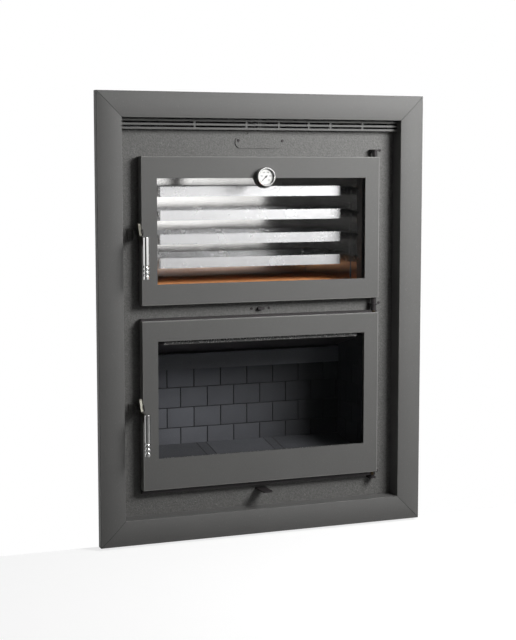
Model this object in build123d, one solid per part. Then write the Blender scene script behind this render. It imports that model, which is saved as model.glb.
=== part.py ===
"""Built-in wood-fired oven: a firebox below and a tray oven above, behind one folded trim frame.

Millimetres, +Z up, +Y into the wall. Pieces are modelled with X from the centre line, Y as the
depth behind the trim's front face and Z above the trim's lower edge. At the end all are moved
together, so that the origin lies at the centre of the base, on the floor.
"""

import os
from math import atan2, cos, degrees, hypot, radians

from build123d import *

# Clearances between pieces
SLIDE_GAP = 0.3
PIN_GAP = 0.05
SEAM_GAP = 0.4

# Trim frame, folded from sheet
TRIM_WIDTH = 850.0
TRIM_HEIGHT = 1084.0
TRIM_FACE = 61.5
TRIM_CROWN = 3.0
TRIM_RETURN = 24.0
TRIM_SHEET = 2.0
TRIM_EDGE = 1.4
TRIM_LIFT = 6.0

# Front plate
PLATE_FACE = 46.0
PLATE_SHEET = 4.0
PLATE_LAP = 8.5

# Doors
DOOR_MARGIN = 50.5
DOOR_FACE = 20.0
DOOR_BACK = 42.5
DOOR_SHEET = 3.0
DOOR_EDGE = 1.5
DOOR_STILE = 39.0
OVEN_DOOR = (576.5, 932.0)
OVEN_WINDOW = (627.0, 880.0)
FIRE_DOOR = (126.7, 539.0)
FIRE_WINDOW = (203.5, 489.5)
FIRE_REAR = (117.0, 544.0)
FIRE_REAR_FACE = 30.0
GLASS_LAP = 7.0
GLASS_SHEET = 4.0
GLASS_ROOM = 2.0
TAPE_SHEET = 1.0
RING_SHEET = 2.0
LINER_SHEET = 1.5
ROPE_INSET = 22.5
ROPE_WIDTH = 8.0
ROPE_DEPTH = 9.0
ROPE_CORNER = 12.0
OVEN_ROPE = (588.0, 921.0)
FIRE_ROPE = (166.0, 518.0)
CLIP_SHEET = 2.0
CLIP_FOOT = 8.0
CLIP_WIDTH = 36.0
FIRE_RAIL_INSET = 18.0
FIRE_RAIL_RISE = 9.5

# Hinges
HINGE_INSET = 8.5
HINGE_Y = 31.0
PIN_RADIUS = 3.0
BUSH_RADIUS = 4.5
BUSH_LENGTH = 26.0
COLLAR_RADIUS = 6.5
BRACKET_WIDTH = 19.0
BRACKET_SHEET = 4.0
BRACKET_FRONT = 22.0
TOP_BRACKET = 946.5
MIDDLE_BRACKET = 557.0
BOTTOM_BRACKET = 109.0

# Latches, measured on the oven door
LATCH_OUTSET = 10.0
LATCH_SHEET = 6.0
LATCH_PIVOT = (12.0, 752.0)
PIVOT_RADIUS = 4.0
LUG_RADIUS = 8.0
ARM_RADIUS = 5.0
ARM_TOP = (20.0, 770.0)
ARM_HEEL = (2.0, 743.0)
NOTCH = (20.0, 743.0)
NOSE = (23.0, 739.0)
JAW = (-22.0, 720.0)
HEEL_FILLET = 7.0
GRIP_INSET = 3.0
GRIP_Y = -37.0
GRIP_TOP = 744.0
GRIP_LENGTH = 100.0
GRIP_TOP_RADIUS = 7.5
GRIP_RADIUS = 8.0
GROOVE_FIRST = 11.0
GROOVE_PITCH = 10.0
GROOVE_DEPTH = 1.4
GROOVE_COUNT = 3
KEEPER_AT = (31.0, 747.0)
KEEPER_RADIUS = 4.0
KEEPER_SHEET = 3.0
LATCH_DROP = 420.5

# Thermometer
GAUGE_Z = 883.0
GAUGE_RADIUS = 23.0
GAUGE_FRONT = 2.6
GAUGE_WALL = 2.0
GAUGE_RIM = 1.6
DIAL_DEPTH = 6.4
DIAL_SHEET = 1.0
LENS_DEPTH = 1.4
LENS_SHEET = 1.5
TAB_RADIUS = 28.0
TAB_FILLET = 5.0
STEM_RADIUS = 4.0
STEM_END = 80.0
NUT_FLATS = 12.0
NUT_SHEET = 4.5
GLASS_NOTCH = 8.5
NEEDLE_LENGTH = 15.0
NEEDLE_TAIL = 5.0
NEEDLE_ROOT = 0.9
NEEDLE_TIP = 0.35
NEEDLE_SHEET = 0.7
NEEDLE_AT = 225.0
SPINDLE_RADIUS = 0.8
HUB_RADIUS = 2.2

# Oven
MOUTH_INSET = 36.0
MOUTH = (599.5, 912.0)
COLLAR_SHEET = 2.0
COLLAR_BACK = 75.0
MUFFLE_BACK = 367.0
MUFFLE_SHEET = 1.5
SLAB_HEIGHT = 20.0
SLAB_MARGIN = 3.0
TRAY_TOP = 859.0
TRAY_PITCH = 58.3
TRAY_COUNT = 4
TRAY_ROOM = 32.0
TRAY_FRONT = 102.0
TRAY_BACK = 352.0
TRAY_HEIGHT = 25.0
TRAY_SHEET = 1.2
TRAY_CORNER = 5.0
TRAY_FLANGE_ROOM = 3.5
RUNNER_SHEET = 2.0
RUNNER_LEDGE_WIDTH = 15.0
RUNNER_FRONT = 62.0
RUNNER_BACK = 356.0
RUNNER_LIP = 10.0
RUNNER_POSTS = (120.0, 320.0)
RUNNER_POST_WIDTH = 18.0

# Steel body behind the front plate
BODY_MARGIN = 37.5
BODY_SHEET = 3.0
BODY_LOW = 160.0
BODY_STEP = 560.0
BODY_HIGH = 985.0
BODY_LOWER_BACK = 290.0
BODY_UPPER_BACK = 430.0
LEG_HALF = 230.0
LEG_WIDTH = 40.0
FLUE_Y = 300.0
FLUE_BORE = 75.0
FLUE_WALL = 3.0
FLUE_TOP = 1070.0
FLUE_FLANGE = 92.0
FLUE_FLANGE_SHEET = 4.0

# Firebox
FIRE_MOUTH_INSET = 30.0
FIRE_MOUTH = (176.0, 505.0)
LINING_MARGIN = 26.0
LINING_FACE = 236.0
LINING_BACK = 262.0
LINING_TOP = 388.0
BRICK_LENGTH = 73.3
BRICK_HEIGHT = 52.4
BRICK_FIRST = 183.2
BRICK_JOINT = 1.4
JOINT_DEPTH = 1.0
HEARTH_BACK_TOP = 193.5
HEARTH_FRONT_TOP = 176.0
HEARTH_BEND = 142.0
HEARTH_FRONT = 62.0
HEARTH_SEAMS = (-105.0, -78.0, 83.0, 107.0)
AIR_BAR = (388.0, 428.0)
AIR_BAR_FACE = 230.0
AIR_BAR_GAP = 1.0
AIR_BAR_SHEET = 2.0
AIR_HOLES = 11
AIR_HOLE_PITCH = 29.9
AIR_HOLE_Z = 401.7
AIR_HOLE_RADIUS = 2.6
BAFFLE_FRONT = 88.0
BAFFLE_FRONT_LOW = 473.0
BAFFLE_SHEET = 25.0

# Damper and air control
SHELF_TOP = 554.2
SHELF_SHEET = 3.0
DAMPER_HALF = 8.5
DAMPER_LOW = 555.0
DAMPER_HEIGHT = 6.5
DAMPER_FRONT = 37.0
DAMPER_PLATE_HALF = 110.0
DAMPER_PLATE_FRONT = 190.0
DAMPER_PLATE_BACK = 284.0
DAMPER_SHEET = 3.0
DAMPER_LAP = 10.0
GUIDE_HALF = 30.0
GUIDE_BACK = 60.0
GUIDE_HEIGHT = 14.0
SIDE_PORT_MARGIN = 23.0
SIDE_PORT_WIDTH = 150.0
SIDE_PORT_Y = (66.0, 130.0)
AIR_TAB_HALF = 12.7
AIR_TAB_FRONT = -9.0
AIR_TAB_LOW = 103.5
AIR_TAB_SHEET = 3.0
AIR_TAB_TAPER = 3.5
AIR_BOX_HALF = 60.0
AIR_BOX_BACK = 240.0
AIR_BOX_SHEET = 2.0
SHUTTER_HALF = 50.0
SHUTTER_FRONT = 108.0
SHUTTER_LENGTH = 40.0
INLET_LAP = 2.0
AIR_TRAVEL = 40.0

# Grille, blank plate and small fasteners
BAR_HEIGHT = 5.0
BAR_FRONT = 26.5
BAR_DEPTH = 10.0
BAR_HEIGHTS = (1018.0, 1008.3, 998.7)
SPACER_WIDTH = 5.0
SPACER_SETBACK = 1.0
SPACER_PLACES = (-176.0, -43.0, 42.0, 122.0, 180.0, 268.0)
VENT_MARGIN = 18.5
VENT_WEB = 12.0
VENT = (996.0, 1020.0)
BADGE_HALF = 66.0
BADGE = (952.0, 982.0)
BADGE_CROWN = 994.5
BADGE_CROWN_HALF = 22.0
BADGE_SHEET = 2.0
BADGE_SCREW_X = 58.0
BADGE_SCREW_Z = 970.7
SCREW_RADIUS = 2.0
SCREW_HEAD = 3.4
SCREW_HEAD_HEIGHT = 1.8
GUIDE_SCREW_X = 23.3
BRACKET_SCREW_OUTSET = 21.5
BRACKET_SCREWS = (949.0, 561.0, 124.0)

# Outer casing
CASING_OUTSET = 1.5
CASING_BACK = 450.0
CASING = (40.0, 1028.0)
CASING_SHEET = 1.5
CASING_FLUE_ROOM = 8.0
SLOT_LENGTH = 60.0
SLOT_WIDTH = 6.0
SLOT_PITCH = 16.0
SLOT_ROWS = 4
SIDE_SLOTS_Y = (150.0, 250.0, 350.0)
BACK_SLOTS_X = (-240.0, -80.0, 80.0, 240.0)
SLOTS_LOW = 90.0
SLOTS_HIGH = 920.0
CASING_SCREWS_Y = (75.0, 425.0)
CASING_SCREWS_Z = (60.0, 534.0, 1008.0)
SKID_INSET = 55.0
SKID_WIDTH = 44.0
SKID_SHEET = 3.0

# Places worked out from the sizes above
PLATE_BACK = PLATE_FACE + PLATE_SHEET
TRIM_OPENING_HALF = TRIM_WIDTH / 2 - TRIM_FACE
DOOR_HALF = TRIM_OPENING_HALF - DOOR_MARGIN
WINDOW_HALF = DOOR_HALF - DOOR_STILE
ROPE_HALF = DOOR_HALF - ROPE_INSET
FIRE_RAIL_HALF = WINDOW_HALF - FIRE_RAIL_INSET
HINGE_X = DOOR_HALF - HINGE_INSET
LATCH_X = DOOR_HALF + LATCH_OUTSET
GRIP_X = LATCH_X - GRIP_INSET
MOUTH_HALF = DOOR_HALF - MOUTH_INSET
TRAY_HALF = MOUTH_HALF - TRAY_ROOM
TRAY_FLANGE = MOUTH_HALF - TRAY_FLANGE_ROOM
RUNNER_LEDGE = MOUTH_HALF - RUNNER_LEDGE_WIDTH
BODY_HALF = TRIM_OPENING_HALF - BODY_MARGIN
BODY_INNER = BODY_HALF - BODY_SHEET
SIDE_PORT_X = (BODY_INNER - SIDE_PORT_MARGIN - SIDE_PORT_WIDTH, BODY_INNER - SIDE_PORT_MARGIN)
FIRE_MOUTH_HALF = DOOR_HALF - FIRE_MOUTH_INSET
LINING_HALF = BODY_HALF - LINING_MARGIN
AIR_BAR_HALF = LINING_HALF - AIR_BAR_GAP
BRACKET_SCREW_X = HINGE_X + BRACKET_SCREW_OUTSET
VENT_HALF = TRIM_OPENING_HALF - VENT_MARGIN
CASING_HALF = TRIM_OPENING_HALF + CASING_OUTSET
SKID_X = CASING_HALF - SKID_INSET
PLATE_HALF = TRIM_OPENING_HALF + PLATE_LAP
GLASS_FRONT = DOOR_FACE + DOOR_SHEET + TAPE_SHEET
GLASS_BACK = GLASS_FRONT + GLASS_SHEET
RING_HALF = WINDOW_HALF + GLASS_LAP + GLASS_ROOM
OVEN_RING = (OVEN_WINDOW[0] - GLASS_LAP - GLASS_ROOM, OVEN_WINDOW[1] + GLASS_LAP + GLASS_ROOM)
FIRE_RING = (FIRE_WINDOW[0] - GLASS_LAP - GLASS_ROOM, FIRE_WINDOW[1] + GLASS_LAP + GLASS_ROOM)
ROPE_BACK = PLATE_FACE - SLIDE_GAP
ROPE_FRONT = ROPE_BACK - ROPE_DEPTH
FLOOR = -TRIM_LIFT
BODY_FLOOR = BODY_LOW + BODY_SHEET
SHELF_LOW = SHELF_TOP - SHELF_SHEET
BASE_CENTRE = (PLATE_BACK + CASING_BACK) / 2
LENS_FRONT = GAUGE_FRONT + LENS_DEPTH
DIAL_FACE = GAUGE_FRONT + DIAL_DEPTH
BAFFLE_SLOPE = (BAFFLE_FRONT_LOW - AIR_BAR[1]) / (LINING_BACK - BAFFLE_FRONT)
LATCH_SPAN = (-LATCH_X, LATCH_SHEET - LATCH_X)


def across(half):
    """Span from minus half to plus half."""
    return (-half, half)


def grow(span, by):
    """Span with both ends moved out by one amount, or in where it is negative."""
    return (span[0] - by, span[1] + by)


def block(x, y, z):
    """Box between the low and high ends given for X, Y and Z."""
    spans = (x, y, z)
    size = [high - low for low, high in spans]
    centre = [(high + low) / 2 for low, high in spans]
    return Pos(*centre) * Box(*size)


def along_x(outline, x):
    """Outline in (Y, Z) drawn out over a span of X."""
    return Plane.YZ.offset(x[0]) * extrude(outline, x[1] - x[0])


def along_y(outline, y):
    """Outline in (X, Z) drawn out over a span of Y."""
    return Plane.XZ.offset(-y[1]) * extrude(outline, y[1] - y[0])


def rod_x(radius, centre, x):
    """Round rod along X about the point centre in (Y, Z)."""
    return along_x(Pos(*centre) * Circle(radius), x)


def rod_y(radius, centre, y):
    """Round rod along Y about the point centre in (X, Z)."""
    return along_y(Pos(*centre) * Circle(radius), y)


def rod_z(radius, centre, z):
    """Round rod along Z about the point centre in (X, Y)."""
    return Pos(*centre, z[0]) * extrude(Circle(radius), z[1] - z[0])


def frame(half, z, sheet, y):
    """Rectangular tube wall along Y, with its inner faces at half and z."""
    outer = block(across(half + sheet), y, grow(z, sheet))
    return outer - block(across(half), grow(y, sheet), z)


def pair(solid):
    """The solid and its mirror image on the other side of the centre line."""
    return [solid, mirror(solid, Plane.YZ)]


def screw(length):
    """Pan-head screw along +Z, with the underside of its head at Z 0."""
    bevel = SCREW_HEAD_HEIGHT / 2
    half_section = Polyline(
        (0, length),
        (SCREW_RADIUS, length),
        (SCREW_RADIUS, 0),
        (SCREW_HEAD, 0),
        (SCREW_HEAD, -bevel),
        (SCREW_HEAD - bevel, -SCREW_HEAD_HEIGHT),
        (0, -SCREW_HEAD_HEIGHT),
        close=True,
    )
    return revolve(Plane.XZ * make_face(half_section), Axis.Z)


# Trim frame


def trim_member(length):
    """Folded trim along Z with its outer edge at X 0, cut on the mitre at both ends."""
    middle = TRIM_FACE / 2
    inner_edge = TRIM_FACE - TRIM_SHEET
    inner_crown = TRIM_CROWN + TRIM_SHEET
    face = ThreePointArc((0, TRIM_CROWN), (middle, 0), (TRIM_FACE, TRIM_CROWN))
    back = ThreePointArc(
        (TRIM_SHEET, inner_crown), (middle, TRIM_SHEET), (inner_edge, inner_crown)
    )
    inner_return = Polyline(
        (TRIM_FACE, TRIM_CROWN),
        (TRIM_FACE, PLATE_FACE),
        (inner_edge, PLATE_FACE),
        (inner_edge, inner_crown),
    )
    outer_return = Polyline(
        (TRIM_SHEET, inner_crown), (TRIM_SHEET, TRIM_RETURN), (0, TRIM_RETURN), (0, TRIM_CROWN)
    )
    section = make_face(face + inner_return + back + outer_return)
    bends = [v for v in section.vertices() if abs(v.Y - TRIM_CROWN) < TRIM_SHEET / 10]
    section = fillet(bends, TRIM_EDGE)
    run = Pos(0, 0, -length / 2) * extrude(section, length)
    end = length / 2 - SEAM_GAP / 2
    mitre = Polyline(
        (-TRIM_SHEET, end + TRIM_SHEET),
        (-TRIM_SHEET, -end - TRIM_SHEET),
        (TRIM_FACE + TRIM_SHEET, TRIM_FACE + TRIM_SHEET - end),
        (TRIM_FACE + TRIM_SHEET, end - TRIM_FACE - TRIM_SHEET),
        close=True,
    )
    return run & along_y(make_face(mitre), (-TRIM_SHEET, PLATE_FACE + TRIM_SHEET))


def trim_parts():
    """The four members of the trim, each turned so that its outer edge faces out."""
    upright = trim_member(TRIM_HEIGHT)
    rail = trim_member(TRIM_WIDTH)
    middle = TRIM_HEIGHT / 2
    return {
        "trim_left": Pos(-TRIM_WIDTH / 2, 0, middle) * upright,
        "trim_right": Pos(TRIM_WIDTH / 2, 0, middle) * Rot(0, 180, 0) * upright,
        "trim_top": Pos(0, 0, TRIM_HEIGHT) * Rot(0, 90, 0) * rail,
        "trim_bottom": Rot(0, -90, 0) * rail,
    }


# Front plate and what is fixed to it


def screw_places():
    """Places (X, Z), seat depth and shank length of every screw on the front plate."""
    places = []
    for x in across(BADGE_SCREW_X):
        places.append((x, BADGE_SCREW_Z, PLATE_FACE - BADGE_SHEET, PLATE_SHEET + BADGE_SHEET))
    for x in across(GUIDE_SCREW_X):
        places.append((x, DAMPER_LOW + DAMPER_HEIGHT / 2, PLATE_FACE, GUIDE_BACK - PLATE_FACE))
    for z in BRACKET_SCREWS:
        places.append((BRACKET_SCREW_X, z, PLATE_FACE, PLATE_SHEET))
    return places


def front_plate():
    """Plate that carries both doors, with its mouths, vents and slots, and the oven's mouth collar."""
    height = (TRIM_FACE - PLATE_LAP, TRIM_HEIGHT - TRIM_FACE + PLATE_LAP)
    thickness = (PLATE_FACE, PLATE_BACK)
    through = grow(thickness, PLATE_SHEET)
    plate = block(across(PLATE_HALF), thickness, height)
    plate -= block(across(MOUTH_HALF), through, MOUTH)
    plate -= block(across(FIRE_MOUTH_HALF), through, FIRE_MOUTH)
    for left, right in ((-VENT_HALF, -VENT_WEB / 2), (VENT_WEB / 2, VENT_HALF)):
        plate -= block((left, right), through, VENT)
    damper_slot = (DAMPER_LOW - SLIDE_GAP, DAMPER_LOW + DAMPER_HEIGHT + SLIDE_GAP)
    plate -= block(across(DAMPER_HALF + SLIDE_GAP), through, damper_slot)
    air_slot = (AIR_TAB_LOW - SLIDE_GAP, AIR_TAB_LOW + AIR_TAB_SHEET + SLIDE_GAP)
    plate -= block(across(AIR_TAB_HALF + SLIDE_GAP), through, air_slot)
    for x, z, seat, length in screw_places():
        plate -= rod_y(SCREW_RADIUS + PIN_GAP, (x, z), through)
    return plate + frame(MOUTH_HALF, MOUTH, COLLAR_SHEET, (PLATE_FACE, COLLAR_BACK))


def grille():
    """Three flat bars between the trim's uprights, welded to the spacers that hold them apart."""
    welded = None
    for middle in BAR_HEIGHTS:
        height = (middle - BAR_HEIGHT / 2, middle + BAR_HEIGHT / 2)
        bar = block(across(TRIM_OPENING_HALF), (BAR_FRONT, BAR_FRONT + BAR_DEPTH), height)
        welded = bar if welded is None else welded + bar
    depth = (BAR_FRONT + SPACER_SETBACK, BAR_FRONT + BAR_DEPTH)
    for upper, lower in zip(BAR_HEIGHTS, BAR_HEIGHTS[1:]):
        for x in SPACER_PLACES:
            welded += block((x - SPACER_WIDTH / 2, x + SPACER_WIDTH / 2), depth, (lower, upper))
    return welded


def badge_outline():
    """Blank plate: round-ended, with a hump on top that rises and falls in two S curves."""
    low, high = BADGE
    end = (high - low) / 2
    side = BADGE_HALF - end
    foot = BADGE_CROWN_HALF * 2
    hump = Spline(
        (-foot, high), (-BADGE_CROWN_HALF, BADGE_CROWN), tangents=[(1, 0), (1, 0)]
    )
    fall = Spline((BADGE_CROWN_HALF, BADGE_CROWN), (foot, high), tangents=[(1, 0), (1, 0)])
    top = Line((-BADGE_CROWN_HALF, BADGE_CROWN), (BADGE_CROWN_HALF, BADGE_CROWN))
    right_run = Line((foot, high), (side, high))
    left_run = Line((-side, high), (-foot, high))
    right_end = ThreePointArc((side, high), (BADGE_HALF, low + end), (side, low))
    left_end = ThreePointArc((-side, low), (-BADGE_HALF, low + end), (-side, high))
    bottom = Line((side, low), (-side, low))
    return make_face(
        hump + top + fall + right_run + right_end + bottom + left_end + left_run
    )


def blank_plate():
    """Plain plate under the grille, with its two screw holes."""
    depth = (PLATE_FACE - BADGE_SHEET, PLATE_FACE)
    plate = along_y(badge_outline(), depth)
    for x in across(BADGE_SCREW_X):
        plate -= rod_y(SCREW_RADIUS + PIN_GAP, (x, BADGE_SCREW_Z), grow(depth, BADGE_SHEET))
    return plate


def panel_screws():
    """Every screw on the front plate, with its head against what it holds."""
    return [Pos(x, seat, z) * Rot(-90, 0, 0) * screw(length) for x, z, seat, length in screw_places()]


# Hinges


def bracket(low):
    """Hinge bracket: a flat arm with a round nose, standing out from the front plate."""
    half = BRACKET_WIDTH / 2
    nose_centre = BRACKET_FRONT + half
    arm = block(
        (HINGE_X - half, HINGE_X + half), (nose_centre, PLATE_FACE), (low, low + BRACKET_SHEET)
    )
    arm += rod_z(half, (HINGE_X, nose_centre), (low, low + BRACKET_SHEET))
    return arm - rod_z(PIN_RADIUS, (HINGE_X, HINGE_Y), (low - 1, low + BRACKET_SHEET + 1))


def hinge_pins():
    """Three pins: one for the oven door's top, one through both doors, one for the fire door's foot."""
    spans = (
        (OVEN_DOOR[1] - BUSH_LENGTH, TOP_BRACKET + BRACKET_SHEET),
        (FIRE_REAR[1] - BUSH_LENGTH, OVEN_DOOR[0] + BUSH_LENGTH),
        (BOTTOM_BRACKET, FIRE_REAR[0] + BUSH_LENGTH),
    )
    return [rod_z(PIN_RADIUS, (HINGE_X, HINGE_Y), span) for span in spans]


def hinge_collars():
    """Collars on the pins that carry each door, with a running gap to it."""
    spans = (
        (OVEN_DOOR[1] + SLIDE_GAP, TOP_BRACKET),
        (MIDDLE_BRACKET + BRACKET_SHEET, OVEN_DOOR[0] - SLIDE_GAP),
        (FIRE_REAR[1] + SLIDE_GAP, MIDDLE_BRACKET),
        (BOTTOM_BRACKET + BRACKET_SHEET, FIRE_REAR[0] - SLIDE_GAP),
    )
    centre = (HINGE_X, HINGE_Y)
    return [rod_z(COLLAR_RADIUS, centre, s) - rod_z(PIN_RADIUS, centre, s) for s in spans]


def bush_spans(door):
    """Heights of the two bushes in a door whose hinge edge runs over the span door."""
    return ((door[0], door[0] + BUSH_LENGTH), (door[1] - BUSH_LENGTH, door[1]))


def bushes(door):
    """Hinge bushes let into the foot and the head of a door."""
    centre = (HINGE_X, HINGE_Y)
    bore = PIN_RADIUS + PIN_GAP
    return [rod_z(BUSH_RADIUS, centre, s) - rod_z(bore, centre, s) for s in bush_spans(door)]


def cut_bushes(solid, door):
    """The solid with the seats of the door's bushes bored out of it."""
    for span in bush_spans(door):
        solid -= rod_z(BUSH_RADIUS, (HINGE_X, HINGE_Y), span)
    return solid


# Doors


def door_shell(z, window, ring):
    """Folded door: front skin with rounded edges, returns behind it and a ring round the glass."""
    skin = block(across(DOOR_HALF), (DOOR_FACE, DOOR_BACK), z)
    front = skin.faces().sort_by(Axis.Y)[0]
    skin = fillet(front.edges(), DOOR_EDGE)
    skin_back = DOOR_FACE + DOOR_SHEET
    room = block(across(DOOR_HALF - DOOR_SHEET), (skin_back, DOOR_BACK + 1), grow(z, -DOOR_SHEET))
    shell = skin - room
    shell -= along_y(window, (DOOR_FACE - 1, skin_back + 1))
    return shell + frame(RING_HALF, ring, RING_SHEET, (skin_back, DOOR_BACK))


def plain_window(z):
    """Square-cornered window."""
    return Pos(0, (z[0] + z[1]) / 2) * Rectangle(2 * WINDOW_HALF, z[1] - z[0])


def gauge_window(z):
    """Window with a round tab at its head that carries the thermometer."""
    window = plain_window(z) - Pos(0, GAUGE_Z) * Circle(TAB_RADIUS)
    corners = [v for v in window.vertices() if abs(v.X) < WINDOW_HALF / 2]
    return fillet(corners, TAB_FILLET)


def rope_loop(z, width, y):
    """Closed ring round the mouth, of one width about the rope's middle line, over a span of Y."""
    middle = (z[0] + z[1]) / 2
    outer = RectangleRounded(2 * ROPE_HALF + width, z[1] - z[0] + width, ROPE_CORNER + width / 2)
    inner = RectangleRounded(2 * ROPE_HALF - width, z[1] - z[0] - width, ROPE_CORNER - width / 2)
    return along_y(Pos(0, middle) * (outer - inner), y)


def door_liner(outer, ring, rope):
    """Rear plate of a door, pressed forward into a channel that holds the sealing rope."""
    plate_front = DOOR_BACK - LINER_SHEET
    plate = outer & block(across(DOOR_HALF), (plate_front, DOOR_BACK), grow(rope, DOOR_HALF))
    ring_depth = (plate_front - 1, DOOR_BACK + 1)
    plate -= block(across(RING_HALF + RING_SHEET), ring_depth, grow(ring, RING_SHEET))
    channel = rope_loop(rope, ROPE_WIDTH + 2 * LINER_SHEET, (ROPE_FRONT - LINER_SHEET, DOOR_BACK))
    return plate + channel - rope_loop(rope, ROPE_WIDTH, (ROPE_FRONT, DOOR_BACK + 1))


def door_rope(rope):
    """Sealing rope, set in its channel and standing out towards the front plate."""
    return rope_loop(rope, ROPE_WIDTH, (ROPE_FRONT, ROPE_BACK))


def glass(window):
    """Glass pane that laps the window on all sides."""
    return block(across(WINDOW_HALF + GLASS_LAP), (GLASS_FRONT, GLASS_BACK), grow(window, GLASS_LAP))


def glass_tape(window):
    """Flat tape between the door's skin and the glass."""
    depth = (DOOR_FACE + DOOR_SHEET, GLASS_FRONT)
    ring = block(across(WINDOW_HALF + GLASS_LAP), depth, grow(window, GLASS_LAP))
    return ring - block(across(WINDOW_HALF + 1), grow(depth, 1), grow(window, 1))


def gauge_notch():
    """Room in the glass and its tape for the thermometer's stem and nut."""
    depth = (DOOR_FACE + DOOR_SHEET, GLASS_BACK + 1)
    top = OVEN_WINDOW[1] + GLASS_LAP + 1
    notch = rod_y(GLASS_NOTCH, (0, GAUGE_Z), depth)
    return notch + block(across(GLASS_NOTCH), depth, (GAUGE_Z, top))


def clip(foot, lap, width):
    """Angle clip along X: it lies on the glass from its foot at Z 0 down to minus lap."""
    flat = block(across(width / 2), (GLASS_BACK, GLASS_BACK + CLIP_SHEET), (-lap, foot))
    leg = block(across(width / 2), (GLASS_BACK, GLASS_BACK + CLIP_FOOT), (foot - CLIP_SHEET, foot))
    return flat + leg


def oven_clips():
    """Six clips that hold the oven glass, two above, two below and one on each side."""
    lap = GLASS_LAP - 1
    piece = clip(GLASS_ROOM, lap, CLIP_WIDTH)
    top = OVEN_WINDOW[1] + GLASS_LAP
    bottom = OVEN_WINDOW[0] - GLASS_LAP
    middle = (top + bottom) / 2
    side = WINDOW_HALF + GLASS_LAP
    clips = []
    for x in across(WINDOW_HALF * 0.62):
        clips.append(Pos(x, 0, top) * piece)
        clips.append(Pos(x, 0, bottom) * Rot(0, 180, 0) * piece)
    clips.append(Pos(side, 0, middle) * Rot(0, 90, 0) * piece)
    clips.append(Pos(-side, 0, middle) * Rot(0, -90, 0) * piece)
    return clips


def fire_rails():
    """Two long rails that hold the fire glass at its head and its foot."""
    top = FIRE_WINDOW[1] + GLASS_LAP
    bottom = FIRE_WINDOW[0] - GLASS_LAP
    upper = clip(GLASS_ROOM, GLASS_LAP + FIRE_RAIL_RISE, 2 * FIRE_RAIL_HALF)
    lower = clip(GLASS_ROOM, GLASS_LAP - SLIDE_GAP, 2 * FIRE_RAIL_HALF)
    return [Pos(0, 0, top) * upper, Pos(0, 0, bottom) * Rot(0, 180, 0) * lower]


def oven_door_parts():
    """The oven door's pieces without its latch and thermometer."""
    shell = door_shell(OVEN_DOOR, gauge_window(OVEN_WINDOW), OVEN_RING)
    shell -= rod_y(STEM_RADIUS, (0, GAUGE_Z), (DOOR_FACE - 1, DOOR_FACE + DOOR_SHEET + 1))
    inside = block(across(DOOR_HALF - DOOR_SHEET), (DOOR_FACE, DOOR_BACK), grow(OVEN_DOOR, -DOOR_SHEET))
    return {
        "oven_door_frame": cut_bushes(shell, OVEN_DOOR),
        "oven_door_liner": door_liner(inside, OVEN_RING, OVEN_ROPE),
        "oven_door_rope": door_rope(OVEN_ROPE),
        "oven_glass": glass(OVEN_WINDOW) - gauge_notch(),
        "oven_glass_tape": glass_tape(OVEN_WINDOW) - gauge_notch(),
        "oven_glass_clips": oven_clips(),
        "oven_door_bushes": bushes(OVEN_DOOR),
    }


def fire_door_parts():
    """The fire door's pieces without its latch; its rear plate stands out above and below."""
    shell = door_shell(FIRE_DOOR, plain_window(FIRE_WINDOW), FIRE_RING)
    inside = block(across(DOOR_HALF - DOOR_SHEET), (DOOR_FACE, DOOR_BACK), grow(FIRE_DOOR, -DOOR_SHEET))
    liner = door_liner(inside, FIRE_RING, FIRE_ROPE)
    strip_depth = (FIRE_REAR_FACE, DOOR_BACK)
    strips = block(across(DOOR_HALF), strip_depth, (FIRE_REAR[0], FIRE_DOOR[0]))
    strips += block(across(DOOR_HALF), strip_depth, (FIRE_DOOR[1], FIRE_REAR[1]))
    lap = (DOOR_BACK - LINER_SHEET, DOOR_BACK)
    shell -= block(across(DOOR_HALF), lap, (FIRE_DOOR[0] - 1, FIRE_DOOR[0] + DOOR_SHEET))
    shell -= block(across(DOOR_HALF), lap, (FIRE_DOOR[1] - DOOR_SHEET, FIRE_DOOR[1] + 1))
    laps = block(across(DOOR_HALF), lap, (FIRE_DOOR[0], FIRE_DOOR[0] + DOOR_SHEET))
    laps += block(across(DOOR_HALF), lap, (FIRE_DOOR[1] - DOOR_SHEET, FIRE_DOOR[1]))
    return {
        "fire_door_frame": cut_bushes(shell, FIRE_REAR),
        "fire_door_liner": cut_bushes(liner + strips + laps, FIRE_REAR),
        "fire_door_rope": door_rope(FIRE_ROPE),
        "fire_glass": glass(FIRE_WINDOW),
        "fire_glass_tape": glass_tape(FIRE_WINDOW),
        "fire_glass_rails": fire_rails(),
        "fire_door_bushes": bushes(FIRE_REAR),
    }


# Latches


def latch_outline():
    """Side view of the latch plate: an arm with a round head, a nose that hooks, a neck to the grip."""
    head_y, head_z = ARM_TOP
    grip_back = GRIP_Y + GRIP_RADIUS / 2
    front = Polyline((head_y - ARM_RADIUS, head_z), ARM_HEEL, (grip_back, ARM_HEEL[1]))
    neck = Polyline((grip_back, ARM_HEEL[1]), (grip_back, JAW[1] - 3), JAW, NOSE, NOTCH)
    back = Line(NOTCH, (head_y + ARM_RADIUS, head_z))
    head = ThreePointArc(
        (head_y + ARM_RADIUS, head_z), (head_y, head_z + ARM_RADIUS), (head_y - ARM_RADIUS, head_z)
    )
    outline = make_face(front + neck + back + head)
    heel = [v for v in outline.vertices() if abs(v.X - ARM_HEEL[0]) + abs(v.Y - ARM_HEEL[1]) < 1]
    return fillet(heel, HEEL_FILLET)


def latch_plate():
    """Latch plate with the bore of its pivot."""
    bore = rod_x(PIVOT_RADIUS + PIN_GAP, LATCH_PIVOT, grow(LATCH_SPAN, 1))
    return along_x(latch_outline(), LATCH_SPAN) - bore


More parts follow.
